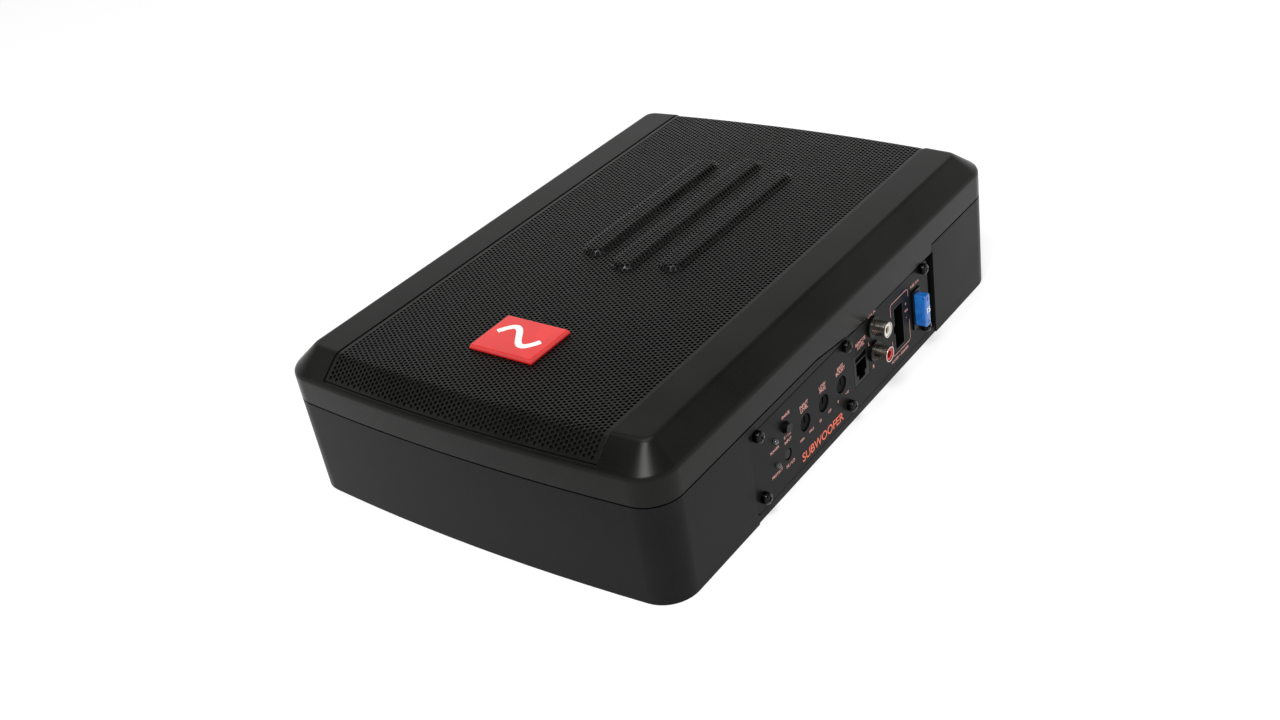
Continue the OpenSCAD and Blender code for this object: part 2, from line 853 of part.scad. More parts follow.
module board_screws() {
    color("#b9bcc0")
    for (x = [-1, 1]) for (y = board_screw_rows())
        translate([x * board_screw_x(), y, 0])
            difference() {
                union() {
                    translate([0, 0, board_top])
                        cylinder(r = 2.8, h = 2);
                    translate([0, 0, pan_wall + 0.5])
                        cylinder(r = 1.2, h = board_top - pan_wall);
                }
                translate([0, 0, board_top + 1])
                    cylinder(r = 1.2, h = 2, $fn = 6);
            }
}

coil_x = board_half - 28;
coil_y = (board_y0 + board_y1) / 2;
module transformer_core() {
    color("#4a4d50")
    translate([coil_x, coil_y, board_top + 2.2])
        difference() {
            cylinder(r = 18, h = 14);
            translate([0, 0, -1])
                cylinder(r = 10, h = 16);
        }
}

module transformer_winding() {
    color("#b5672c")
    translate([coil_x, coil_y, board_top])
        difference() {
            rotate_extrude()
                polygon([[8, 1], [9, 0], [19, 0], [20.5, 1.5], [20.5, 17], [19, 18.4], [9, 18.4], [8, 17.4]]);
            rotate_extrude()
                polygon([[9.9, 2.1], [18.1, 2.1], [18.1, 16.3], [9.9, 16.3]]);
        }
}

module capacitors() {
    color("#20262e")
    for (i = [0, 1]) for (j = [0, 1])
        translate([-board_half + 28 + 21 * i, board_y0 + 11 + 21 * j, board_top])
            difference() {
                cylinder(r = 8.5, h = 30);
                translate([0, 0, 29.4])
                    cylinder(r = 7.4, h = 1);
            }
}

module power_transistors() {
    color("#17181a")
    for (i = [-2.5:2.5])
        box(i * 22 - 5, i * 22 + 5, bar_y - heat_t - 4.6, bar_y - heat_t, board_top + 3, board_top + 19);
}

module heat_bar() {
    color("#b4b7ba")
    box(-68, 68, bar_y - heat_t, bar_y, pan_wall, board_top + 20);
}

// ---- driver

function driver_screw_points() = [for (i = [0:7]) let(t = 22.5 + 45 * i)
    [(driver_a - 4.5) * cos(t), (driver_b - 4.5) * sin(t)]];

module driver_basket() {
    mid_z = (ledge_z + deck_top) / 2 + 1;
    mid_a = throat_a - 3;
    mid_b = throat_b - 3;
    w = basket_t;
    color("#3a3c3f")
    difference() {
        union() {
            oval_ring([
                [driver_a, driver_b, deck_top],
                [driver_a, driver_b, rim_z],
                [throat_a - w, throat_b - w, rim_z],
                [mid_a - w, mid_b - w, mid_z],
                [ledge_r, ledge_r, ledge_z + w],
                [ledge_r - ledge_w, ledge_r - ledge_w, ledge_z + w],
                [ledge_r - ledge_w, ledge_r - ledge_w, ledge_z],
                [ledge_r, ledge_r, ledge_z],
                [mid_a, mid_b, mid_z],
                [throat_a, throat_b, deck_top]
            ]);
            box(-9, 9, -throat_b, -mid_b + basket_t, mid_z, deck_z - 0.5);
            translate([0, 0, seat_z])
                rotate_extrude()
                    polygon([
                        [coil_r + 4, 0],
                        [magnet_r - 3, 0],
                        [magnet_r - 2, 1.5],
                        [ledge_r - 1, ledge_z - seat_z + 0.6],
                        [ledge_r - 4, ledge_z - seat_z + 0.6],
                        [magnet_r - 6, seat_t],
                        [coil_r + 4, seat_t]
                    ]);
        }
        for (i = [0:5])
            rotate([0, 0, 60 * i - 90])
                box(25, ledge_r + 60, -13, 13, seat_z + 4, ledge_z - 1.5);
        for (i = [0:7])
            rotate([0, 0, 45 * i - 90])
                box(ledge_r + 3, driver_a + 5, -14, 14, ledge_z + 2, mid_z - 1);
        for (p = driver_screw_points())
            translate([p[0], p[1], deck_top - 1])
                cylinder(r = 2, h = flange_t + 2);
    }
}

module driver_gasket() {
    z0 = rim_z + 0.8;
    z1 = z0 + 1.6;
    color("#111111")
    oval_ring([[throat_a + 0.6, throat_b + 0.6, z0], [throat_a + 0.6, throat_b + 0.6, z1],
        [throat_a - 1.8, throat_b - 1.8, z1], [throat_a - 1.8, throat_b - 1.8, z0]]);
}

module surround() {
    r = roll_w / 2;
    t = 0.8;
    arc = [for (i = [0:8]) let(a = 180 * i / 8) [r * cos(a), r * sin(a)]];
    inner = [for (i = [8:-1:0]) let(a = 180 * i / 8) [(r - t) * cos(a), (r - t) * sin(a)]];
    function at(p) = [cone_a + r + p[0], cone_b + r + p[0], rim_z + t + p[1]];
    color("#1f1f20")
    oval_ring(concat([[throat_a, throat_b, rim_z], [throat_a, throat_b, rim_z + t]], [for (p = arc) at(p)],
        [[cone_a - 2.5, cone_b - 2.5, rim_z + t], [cone_a - 2.5, cone_b - 2.5, rim_z]],
        [for (p = inner) at([p[0], p[1] - t])]));
}

module cone() {
    neck_r = former_r + slip;
    top = rim_z - slip;
    color("#26282b")
    oval_ring([
        [cone_a, cone_b, top],
        [cone_a - 3, cone_b - 3, top],
        [neck_r, neck_r, neck_z + cone_t + 0.4],
        [neck_r, neck_r, neck_z],
        [cone_a - 2.2, cone_b - 2.2, top - cone_t],
        [cone_a, cone_b, top - cone_t]
    ]);
}

// Where the dust cap meets the cone: a share of the way up from neck to rim
cap_share = 0.34;
cap_a = former_r + cap_share * (cone_a - 3 - former_r);
cap_b = former_r + cap_share * (cone_b - 3 - former_r);
cap_z = neck_z + cone_t + 0.4 + cap_share * (rim_z - neck_z - cone_t - 0.4);
module dome(lift, shrink) {
    hull()
        for (i = [0:5]) let(t = 15 * i)
            oval_slab((cap_a - shrink) * cos(t), (cap_b - shrink) * cos(t), cap_z + lift + 8 * sin(t), eps);
}
module dust_cap() {
    color("#202123")
    difference() {
        dome(0.1, 0);
        dome(-0.9, 0);
    }
}

module spider() {
    waves = 6;
    r0 = former_r + 0.1;
    step = (ledge_r - 0.5 - r0) / (2 * waves + 2);
    function crest(i) = (i % 2 == 1 && i < 2 * waves) ? 0.8 : 0;
    color("#c9a45c")
    translate([0, 0, ledge_z + basket_t + slip])
        rotate_extrude()
            polygon(concat(
                [for (i = [0:2 * waves + 2]) [r0 + i * step, crest(i) + 0.6]],
                [for (i = [2 * waves + 2:-1:0]) [r0 + i * step, crest(i)]]
            ));
}

coil_mid = top_plate_z + plate_thick / 2;
coil_h = plate_thick + cone_travel;
module coil_former() {
    color("#c9b48a")
    translate([0, 0, coil_mid - coil_h / 2 - 1])
        difference() {
            cylinder(r = former_r, h = neck_z + 2 - (coil_mid - coil_h / 2 - 1));
            translate([0, 0, -1])
                cylinder(r = former_r - former_t, h = body_h);
        }
}

module coil_winding() {
    color("#b86f2e")
    translate([0, 0, coil_mid - coil_h / 2])
        difference() {
            cylinder(r = coil_r, h = coil_h);
            translate([0, 0, -1])
                cylinder(r = former_r + 0.02, h = coil_h + 2);
        }
}

module top_plate() {
    color("#8b8e92")
    translate([0, 0, top_plate_z])
        difference() {
            cylinder(r = magnet_r - 2, h = plate_thick);
            translate([0, 0, -1])
                cylinder(r = gap_r, h = plate_thick + 2);
        }
}

module magnet() {
    color("#3b3d40")
    translate([0, 0, magnet_z])
        difference() {
            cylinder(r = magnet_r, h = magnet_t);
            translate([0, 0, -1])
                cylinder(r = coil_r + 6, h = magnet_t + 2);
        }
}

module pole_yoke() {
    color("#8b8e92")
    translate([0, 0, yoke_z])
        union() {
            cylinder(r = magnet_r - 2, h = yoke_t);
            cylinder(r = pole_r, h = seat_z - yoke_z);
        }
}

terminal_y = -throat_b;
terminal_z = deck_z - 9;
module driver_terminals() {
    color("#b08a3c")
    for (s = [-1, 1])
        box(s * 5 - 2, s * 5 + 2, terminal_y - 4, terminal_y, terminal_z, deck_z - 0.5);
}

module tinsel_leads() {
    color("#c8862f")
    for (s = [-1, 1])
        wire([[s * 5, terminal_y - 2, terminal_z], [s * 5, terminal_y - 2, terminal_z - 3],
            [s * 5, terminal_y + 2, terminal_z - 4.4], [s * 5.5, -(ledge_r + 2), ledge_z + 6.5],
            [s * 6, -42, ledge_z + 5.5], [s * 7, -30, ledge_z + 5.2], [s * 7, -former_r - 3.4, neck_z + 1.2]],
            0.6, 6);
}

module driver_screws() {
    color("#b9bcc0")
    for (p = driver_screw_points())
        translate([p[0], p[1], rim_z])
            difference() {
                union() {
                    cylinder(r1 = 3.4, r2 = 2.4, h = 2);
                    translate([0, 0, -flange_t - 6])
                        cylinder(r = 1.45, h = flange_t + 7);
                }
                translate([0, 0, 1])
                    cylinder(r = 1.2, h = 2, $fn = 6);
            }
}

module speaker_leads() {
    y0 = board_y1 - 14;
    z1 = terminal_z;
    color("#a32222")
    for (s = [-1, 1])
        wire([[s * 5, y0, board_top], [s * 5, y0, board_top + 6], [s * 5, y0 + 0.3, board_top + 16],
            [s * 5, y0 + 1.5, z1 - 12], [s * 5, terminal_y - 9.2, z1 - 4], [s * 5, terminal_y - 9, z1 + 0.5],
            [s * 5, terminal_y - 7, z1 + 3.6], [s * 5, terminal_y - 4.05, z1 + 4]], 1.1);
}

bottom_pan();
top_cover();
seam_gasket();
grille();
badge_plate();
badge_wave();
case_screws();
bracket_inserts();
control_panel();
panel_screws();
gain_knob();
crossover_knob();
boost_knob();
gain_shaft();
crossover_shaft();
boost_shaft();
potentiometers();
phase_button();
input_button();
button_switches();
indicator_lenses();
remote_socket();
remote_contacts();
phono_block();
phono_shells();
phono_insulator_white();
phono_insulator_red();
phono_contacts();
power_socket();
power_pins();
fuse_holder();
fuse_clips();
fuse_body();
fuse_blades();
main_board();
control_board();
board_screws();
transformer_core();
transformer_winding();
capacitors();
power_transistors();
heat_bar();
driver_basket();
driver_gasket();
surround();
cone();
dust_cap();
spider();
coil_former();
coil_winding();
top_plate();
magnet();
pole_yoke();
driver_terminals();
tinsel_leads();
driver_screws();
speaker_leads();
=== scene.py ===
"""Looks of a flat powered subwoofer for a car: casing, perforated grille, badge, driver and control panel.

Lengths are in millimetres, and MM turns them to metres where a piece is made."""

import json
import math

import bmesh
import bpy
import numpy as np
from mathutils import Matrix, Vector

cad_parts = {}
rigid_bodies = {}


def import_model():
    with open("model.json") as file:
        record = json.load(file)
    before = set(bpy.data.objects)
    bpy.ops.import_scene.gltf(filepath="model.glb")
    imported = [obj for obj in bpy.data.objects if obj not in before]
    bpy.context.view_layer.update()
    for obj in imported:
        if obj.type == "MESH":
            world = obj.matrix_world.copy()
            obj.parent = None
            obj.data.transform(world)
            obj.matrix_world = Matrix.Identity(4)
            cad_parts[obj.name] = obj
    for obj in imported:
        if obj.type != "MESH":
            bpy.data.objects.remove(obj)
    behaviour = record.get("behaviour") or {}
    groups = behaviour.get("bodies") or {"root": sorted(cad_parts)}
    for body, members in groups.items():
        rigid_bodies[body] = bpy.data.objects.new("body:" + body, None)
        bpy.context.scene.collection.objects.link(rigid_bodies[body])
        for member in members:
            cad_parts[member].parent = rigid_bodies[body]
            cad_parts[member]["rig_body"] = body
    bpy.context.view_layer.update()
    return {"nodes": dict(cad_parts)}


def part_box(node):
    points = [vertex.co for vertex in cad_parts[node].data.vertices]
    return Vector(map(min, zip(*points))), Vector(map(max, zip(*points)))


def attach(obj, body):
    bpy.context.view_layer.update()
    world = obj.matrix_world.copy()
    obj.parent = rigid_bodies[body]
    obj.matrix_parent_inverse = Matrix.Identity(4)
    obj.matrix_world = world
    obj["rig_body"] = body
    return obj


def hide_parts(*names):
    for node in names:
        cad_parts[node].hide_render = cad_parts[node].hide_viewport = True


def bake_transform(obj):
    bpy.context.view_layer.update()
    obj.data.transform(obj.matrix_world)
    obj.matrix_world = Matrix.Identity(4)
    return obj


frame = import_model()
nodes = frame["nodes"]
scene = bpy.context.scene

MM = 0.001
UPRIGHT = Matrix.Rotation(math.radians(90), 4, "X")


# ---- places, from the frame


def edges(node):
    """A CAD node's lowest and highest corners, in millimetres."""
    low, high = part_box(node)
    return low / MM, high / MM


COVER_LOW, COVER_HIGH = edges("top_cover")
_, PAN_HIGH = edges("bottom_pan")
GRILLE_LOW, GRILLE_HIGH = edges("grille")
PANEL_LOW, _ = edges("control_panel")
HALF_L = COVER_HIGH.x
HALF_W = COVER_HIGH.y
BODY_H = COVER_HIGH.z
SEAM_GAP = 0.8
COVER_FOOT = PAN_HIGH.z + SEAM_GAP
PANEL_Y = PANEL_LOW.y
PANEL_DATUM = 94  # from the panel's low end to the line that its places are measured from
PANEL_X = PANEL_LOW.x + PANEL_DATUM

CORNER_R = 18.0
END_BOW = 5.4
BEVEL_DROP = 11.2
BEVEL_RUN_X = 14.0
BEVEL_RUN_Y = 12.5
LEAN = math.tan(math.radians(22.5))
COVER_WALL = 3.2
DECK_LOW = BODY_H - 18
DECK_TOP = BODY_H - 15
GRILLE_SUNK = 0.5
GRILLE_T = 1.0
GRILLE_GAP = 0.5


# ---- small tools for meshes


JOIN_WITHIN = 0.002
FLAT_WITHIN = math.radians(0.4)
SHARP_OVER = math.radians(32)


def placed(name, data):
    """A new object with this data, in the scene."""
    made = bpy.data.objects.new(name, data)
    scene.collection.objects.link(made)
    return made


def from_bmesh(name, shape):
    """A new object from a bmesh in metres."""
    mesh = bpy.data.meshes.new(name)
    shape.to_mesh(mesh)
    shape.free()
    return placed(name, mesh)


def piece(name, points, faces):
    """A mesh object from points in millimetres, riding on the casing."""
    mesh = bpy.data.meshes.new(name)
    mesh.from_pydata([Vector(p) * MM for p in points], [], faces)
    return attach(placed(name, mesh), "casing")


def smooth(target, angle=28):
    """Shades a mesh smoothly, apart from edges sharper than the angle in degrees."""
    target.data.polygons.foreach_set("use_smooth", [True] * len(target.data.polygons))
    target.data.set_sharp_from_angle(angle=math.radians(angle))
    return target


def even(target):
    """Lets large faces rule the shading at rounded edges, so that flat walls look flat."""
    weigh = target.modifiers.new("even", "WEIGHTED_NORMAL")
    weigh.keep_sharp = True
    weigh.weight = 90
    return target


def round_edges(shape, width, segments=2):
    """Rounds a bmesh's sharp edges to the width in millimetres."""
    bmesh.ops.remove_doubles(shape, verts=shape.verts, dist=JOIN_WITHIN * MM)
    bmesh.ops.dissolve_limit(shape, angle_limit=FLAT_WITHIN, verts=shape.verts, edges=shape.edges)
    sharp = [e for e in shape.edges if e.is_manifold and e.calc_face_angle(0) > SHARP_OVER]
    bmesh.ops.bevel(shape, geom=sharp, offset=width * MM, segments=segments, profile=0.5,
                    affect="EDGES", clamp_overlap=True)


def soften(target, width, segments=2):
    """Rounds a piece's own sharp edges."""
    shape = bmesh.new()
    shape.from_mesh(target.data)
    round_edges(shape, width, segments)
    shape.to_mesh(target.data)
    shape.free()


def cut_off(shape, point, way):
    """Removes what lies beyond a plane from a bmesh."""
    everything = shape.verts[:] + shape.edges[:] + shape.faces[:]
    bmesh.ops.bisect_plane(shape, geom=everything, plane_co=point, plane_no=way, clear_outer=True)


def copied(node):
    """A bmesh with a CAD node's shape, its points joined."""
    shape = bmesh.new()
    source = nodes[node].data
    points = [shape.verts.new(v.co) for v in source.vertices]
    for face in source.polygons:
        shape.faces.new([points[i] for i in face.vertices])
    bmesh.ops.remove_doubles(shape, verts=shape.verts, dist=JOIN_WITHIN * MM)
    return shape


def refined(node, width, segments=2, name=None):
    """A copy of a CAD node with its edges rounded as moulding or tumbling leaves them, in its place."""
    shape = copied(node)
    round_edges(shape, width, segments)
    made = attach(from_bmesh(name or node + "_finished", shape), nodes[node]["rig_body"])
    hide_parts(node)
    return even(smooth(made))


def flatten(target):
    """Applies a piece's modifiers."""
    evaluated = target.evaluated_get(bpy.context.evaluated_depsgraph_get())
    mesh = bpy.data.meshes.new_from_object(evaluated)
    target.modifiers.clear()
    target.data = mesh


def carve(target, tool, operation="DIFFERENCE"):
    """Cuts the tool out of a piece or joins it on, and removes the tool."""
    change = target.modifiers.new("carve", "BOOLEAN")
    change.operation = operation
    change.solver = "EXACT"
    change.object = tool
    flatten(target)
    bpy.data.objects.remove(tool)


def block(x0, x1, y0, y1, z0, z1):
    """A plain block, to cut with or to shape further."""
    corners = [(x, y, z) for x in (x0, x1) for y in (y0, y1) for z in (z0, z1)]
    sides = [(0, 1, 3, 2), (4, 6, 7, 5), (0, 4, 5, 1), (2, 3, 7, 6), (0, 2, 6, 4), (1, 5, 7, 3)]
    return piece("cutter", corners, sides)


def prism(outline, z0, z1):
    """A plain upright prism to cut with."""
    n = len(outline)
    points = [(x, y, z) for z in (z0, z1) for x, y in outline]
    sides = [(i, (i + 1) % n, n + (i + 1) % n, n + i) for i in range(n)]
    return piece("cutter", points, sides + [tuple(range(n))[::-1], tuple(range(n, 2 * n))])


def turned(profile, steps=48):
    """Points and faces of a solid turned about Z, from its (radius, height) profile. The profile starts and
    ends on the axis."""
    ring = [(math.cos(math.tau * i / steps), math.sin(math.tau * i / steps)) for i in range(steps)]
    points = [(r * c, r * s, z) for r, z in profile[1:-1] for c, s in ring]
    first, last = len(points), len(points) + 1
    points += [(0, 0, profile[0][1]), (0, 0, profile[-1][1])]
    rows = len(profile) - 2
    faces = [(first, (i + 1) % steps, i) for i in range(steps)]
    for row in range(rows - 1):
        base = row * steps
        faces += [(base + i, base + (i + 1) % steps, base + steps + (i + 1) % steps, base + steps + i)
                  for i in range(steps)]
    top = (rows - 1) * steps
    return points, faces + [(top + i, top + (i + 1) % steps, last) for i in range(steps)]


# ---- shape of the casing


def quarter(inset_x, inset_y, radius, end_steps=10, corner_steps=14):
    """A quarter of the body's outline: half of a bowed end, then a round corner."""
    length = HALF_L - inset_x
    width = HALF_W - inset_y
    centre_y = width - radius
    meet_y = centre_y + radius * math.sin(math.atan(2 * END_BOW * centre_y / width ** 2))
    start = math.atan(2 * END_BOW * meet_y / width ** 2)
    centre_x = length - END_BOW * (meet_y / width) ** 2 - radius * math.cos(start)
    bowed = [(length - END_BOW * (meet_y * i / end_steps / width) ** 2, meet_y * i / end_steps)
             for i in range(end_steps)]
    turns = [start + (math.pi / 2 - start) * i / corner_steps for i in range(corner_steps + 1)]
    return bowed + [(centre_x + radius * math.cos(t), centre_y + radius * math.sin(t)) for t in turns]


def plan(inset_x, inset_y, radius):
    """The body's whole outline, anticlockwise from the middle of its +X end."""
    q = quarter(inset_x, inset_y, radius)
    return (q + [(-x, y) for x, y in q[::-1]] + [(-x, -y) for x, y in q[1:]]
            + [(x, -y) for x, y in q[:0:-1]])


def loft(name, levels):
    """A closed solid through a stack of outlines, each given as (height, outline)."""
    n = len(levels[0][1])
    points = [(x, y, z) for z, outline in levels for x, y in outline]
    faces = [(k * n + i, k * n + (i + 1) % n, (k + 1) * n + (i + 1) % n, (k + 1) * n + i)
             for k in range(len(levels) - 1) for i in range(n)]
    top = (len(levels) - 1) * n
    return piece(name, points, faces + [tuple(range(n))[::-1], tuple(range(top, top + n))])


def rounded(a, corner, b, steps=5):
    """A short curve that takes a profile round its corner."""
    return [tuple((1 - t) ** 2 * p + 2 * t * (1 - t) * q + t * t * r for p, q, r in zip(a, corner, b))
            for t in [i / steps for i in range(steps + 1)]]


def cover_form(name, inset, foot, softness=0.0):
    """The cover's outer form set in by a distance: upright sides, the bevel and the flat top.
    Softness is how far from each bevel edge its rounding starts."""
    lean = LEAN * inset
    bevel_z = BODY_H - BEVEL_DROP - lean
    top_z = BODY_H - inset
    rise = top_z - bevel_z
    run = BEVEL_RUN_Y + lean - inset
    near = softness / math.hypot(run, rise)
    if softness:
        low_bend = ((0.0, bevel_z - softness), (0.0, bevel_z), (near, bevel_z + near * rise))
        high_bend = ((1 - near, top_z - near * rise), (1.0, top_z), (1 + softness / run, top_z))
        profile = [(0.0, foot)] + rounded(*low_bend) + rounded(*high_bend)
    else:
        profile = [(0.0, foot), (0.0, bevel_z), (1.0, top_z)]
    step_x = BEVEL_RUN_X + lean - inset
    levels = [(z, plan(inset + step_x * t, inset + run * t, CORNER_R - inset - run * t))
              for t, z in profile]
    return loft(name, levels)


def oval(a, b, steps=96):
    """An oval's points, from its half-widths."""
    return [(a * math.cos(math.tau * i / steps), b * math.sin(math.tau * i / steps)) for i in range(steps)]


PAST = 5
MOULD_SOFTNESS = 1.7
MOULD_EDGE = 0.25
LIP_X = (-38, 8, 93, 94)
LIP_T = 1.1
DRIVER_GAP = 0.5
WINDOW_LEDGE_X = 5
WINDOW_LEDGE_Y = 5.5
WINDOW_DEPTH = 8


def cover():
    """The moulded cover: a bevelled shell with a seat for the grille, an open window under it,
    the baffle that the driver hangs in, and a lip that dips over the sockets."""
    made = cover_form("cover_shell", 0, COVER_LOW.z - 1, softness=MOULD_SOFTNESS)
    far_x, far_y, far_z = HALF_L + PAST, HALF_W + PAST, BODY_H + PAST
    below = block(-far_x, far_x, -far_y, far_y, COVER_LOW.z - 2 * PAST, COVER_FOOT)
    lip_z = (COVER_FOOT + 1, COVER_LOW.z, COVER_LOW.z, COVER_FOOT + 1)
    lip = [(PANEL_X + x, z) for x, z in zip(LIP_X, lip_z)]
    lip_points = [(x, y, z) for y in (-far_y - 1, -HALF_W + LIP_T) for x, z in lip]
    lip_faces = [(0, 1, 2, 3), (7, 6, 5, 4), (0, 4, 5, 1), (1, 5, 6, 2), (2, 6, 7, 3), (3, 7, 4, 0)]
    carve(below, piece("cutter", lip_points, lip_faces))
    carve(made, below)
    inner = plan(COVER_WALL, COVER_WALL, CORNER_R - COVER_WALL)
    under_deck = prism(inner, COVER_LOW.z - 2, DECK_LOW)
    carve(under_deck, block(-HALF_L, HALF_L, -far_y, -HALF_W + COVER_WALL, 0, DECK_TOP))
    carve(made, under_deck)
    carve(made, cover_form("cutter", COVER_WALL, DECK_TOP))
    _, driver_high = edges("surround")
    driver_hole = oval(driver_high.x + DRIVER_GAP, driver_high.y + DRIVER_GAP)
    carve(made, prism(driver_hole, DECK_LOW - 1, DECK_TOP + 1))
    half_width = GRILLE_HIGH.y + GRILLE_GAP
    seat = block(-far_x, far_x, -half_width, half_width, GRILLE_LOW.z - GRILLE_GAP, far_z)
    carve(seat, cover_form("cutter", GRILLE_SUNK + GRILLE_T, COVER_FOOT))
    carve(made, seat)
    window_x = HALF_L - BEVEL_RUN_X - WINDOW_LEDGE_X
    window_y = half_width - WINDOW_LEDGE_Y
    carve(made, block(-window_x, window_x, -window_y, window_y, BODY_H - WINDOW_DEPTH, far_z))
    soften(made, MOULD_EDGE)
    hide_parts("top_cover")
    return even(smooth(made))


# ---- grille


HOLE_PITCH = 2.6
WEB = 0.72
GRILLE_EDGE = 0.7
FOLD_SOFTNESS = 2.4
RAISED_BARS = [(-1, 122.0), (0, 138.0), (1, 122.0)]
BAR_W = 17.0
BAR_PITCH = 25.0
BAR_X = 39.0
BAR_RISE = 2.35
BAR_RAMP = 3.0
RIM_SHARP = 40


def bar_height(x, y):
    """How far the sheet is pressed up at a point: three round-ended bars side by side."""
    rise = np.zeros_like(x)
    for side, length in RAISED_BARS:
        along = np.maximum(np.abs(x - BAR_X) - (length - BAR_W) / 2, 0)
        inside = BAR_W / 2 - np.hypot(along, y - side * BAR_PITCH)
        t = np.clip(inside / BAR_RAMP, 0, 1)
        rise = np.maximum(rise, BAR_RISE * t * t * (3 - 2 * t))
    return rise


def grille_surface(s, v):
    """The sheet's upper face. s runs along the body over both folds and v across it, in millimetres."""
    lean = LEAN * GRILLE_SUNK
    fold_x = HALF_L - BEVEL_RUN_X - lean
    top_z = BODY_H - GRILLE_SUNK
    low_z = BODY_H - BEVEL_DROP - lean
    slope = math.hypot(HALF_L - GRILLE_SUNK - fold_x, top_z - low_z)
    fold_line = fold_x - END_BOW * (v / (HALF_W - BEVEL_RUN_Y - lean)) ** 2
    low_line = HALF_L - GRILLE_SUNK - END_BOW * (v / (HALF_W - GRILLE_SUNK)) ** 2

    def bent(u):
        down = np.maximum(u - fold_x, 0) / slope
        return np.where(u < fold_x, u * fold_line / fold_x, fold_line + (low_line - fold_line) * down), down

    u = np.abs(s)
    near = np.abs(u - fold_x) < FOLD_SOFTNESS
    t = np.clip((u - fold_x + FOLD_SOFTNESS) / (2 * FOLD_SOFTNESS), 0, 1)
    x, down = bent(u)
    x0, _ = bent(np.full_like(u, fold_x - FOLD_SOFTNESS))
    x1, down1 = bent(np.full_like(u, fold_x + FOLD_SOFTNESS))
    x = np.where(near, (1 - t) ** 2 * x0 + 2 * t * (1 - t) * fold_line + t * t * x1, x) * np.sign(s)
    down = np.where(near, t * t * down1, down)
    return np.stack([x, v, top_z - (top_z - low_z) * down + bar_height(x, v)], -1)


def grille_half_length():
    """Half the sheet's length, measured over its fold."""
    lean = LEAN * GRILLE_SUNK
    fold_x = HALF_L - BEVEL_RUN_X - lean
    drop = BODY_H - GRILLE_SUNK - (BODY_H - BEVEL_DROP - lean)
    slope = math.hypot(HALF_L - GRILLE_SUNK - fold_x, drop)
    return fold_x + slope * (BODY_H - GRILLE_SUNK - GRILLE_LOW.z) / drop


def perforated_grille():
    """The grille as one punched, pressed and folded sheet: six-sided holes in staggered rows."""
    half_s, half_v = grille_half_length(), GRILLE_HIGH.y
    row_gap = HOLE_PITCH * math.sqrt(3) / 2
    columns = math.ceil(half_s / HOLE_PITCH) + 1
    rows = math.ceil(half_v / row_gap) + 1
    j, i = np.mgrid[-rows:rows + 1, -columns:columns + 1]
    centres = np.stack([(i + 0.5 * (j % 2)) * HOLE_PITCH, j * row_gap], -1).reshape(-1, 2)
    hole_r = (HOLE_PITCH - WEB) / math.sqrt(3)
    corners = np.radians(30 + 60 * np.arange(6))
    ring = hole_r * np.stack([np.cos(corners), np.sin(corners)], -1)
    flat = (centres[:, None] + ring).reshape(-1, 2)

    height, width = i.shape
    index = np.arange(height * width).reshape(height, width)
    shift = j % 2

    def neighbour(turn):
        """Each hole's neighbour to the right, upper right or upper left, and which holes have one."""
        at_j = np.arange(height)[:, None] + (turn > 0)
        at_i = np.arange(width)[None] + (1 if turn == 0 else shift - (turn == 2))
        real = (at_j < height) & (at_i >= 0) & (at_i < width)
        return index[np.clip(at_j, 0, height - 1), np.clip(at_i, 0, width - 1)], real

    faces = []
    beside = [neighbour(turn) for turn in range(3)]
    for turn, (other, real) in enumerate(beside):
        here, there = index[real] * 6, other[real] * 6
        strip = [here + (turn - 1) % 6, there + (turn + 3) % 6, there + (turn + 2) % 6, here + turn]
        faces += np.stack(strip, -1).tolist()
    for turn in (0, 1):
        real = beside[turn][1] & beside[turn + 1][1]
        first, second = beside[turn][0][real] * 6, beside[turn + 1][0][real] * 6
        faces += np.stack([index[real] * 6 + turn, first + turn + 2, second + turn + 4], -1).tolist()
    reach = hole_r + GRILLE_EDGE
    uncut = (np.abs(centres[:, 0]) > half_s - reach) | (np.abs(centres[:, 1]) > half_v - reach)
    faces += (np.nonzero(uncut)[0][:, None] * 6 + np.arange(6)).tolist()

    mesh = bpy.data.meshes.new("grille_flat")
    mesh.from_pydata(np.pad(flat, ((0, 0), (0, 1))).tolist(), [], faces)
    shape = bmesh.new()
    shape.from_mesh(mesh)
    for x, y in ((1, 0), (-1, 0), (0, 1), (0, -1)):
        cut_off(shape, (half_s * x, half_v * y, 0), (x, y, 0))
    rims = [e for e in shape.edges if e.is_boundary]
    walls = bmesh.ops.extrude_edge_only(shape, edges=rims)
    for v in walls["geom"]:
        if isinstance(v, bmesh.types.BMVert):
            v.co.z = -1
    shape.to_mesh(mesh)
    shape.free()

    place = np.empty(len(mesh.vertices) * 3)
    mesh.vertices.foreach_get("co", place)
    s, v, depth = place.reshape(-1, 3).T
    tiny = 0.05
    along = grille_surface(s + tiny, v) - grille_surface(s - tiny, v)
    across = grille_surface(s, v + tiny) - grille_surface(s, v - tiny)
    normal = np.cross(along, across)
    normal /= np.linalg.norm(normal, axis=1)[:, None]
    put = (grille_surface(s, v) + normal * depth[:, None] * GRILLE_T) * MM
    mesh.vertices.foreach_set("co", put.ravel())
    mesh.update()
    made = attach(placed("grille_sheet", mesh), "casing")
    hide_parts("grille")
    return smooth(made, RIM_SHARP)


# ---- badge


def badge():
    """The badge: a moulded plate with soft edges, and a plain raised wave across it."""
    plate = refined("badge_plate", 0.35, 3, "badge_plate_moulded")
    wave = refined("badge_wave", 0.08, 1, "badge_wave_raised")
    return plate, wave


# ---- driver parts that bend as the cone moves


RING_SHARE = 0.46
SURROUND_SECTORS = 16
SPIDER_SECTORS = 8


def bending(name, shape, node):
    """A soft piece from a bmesh in metres, shaded smoothly in place of its CAD node."""
    made = smooth(from_bmesh(name, shape))
    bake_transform(made)
    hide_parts(node)
    return made


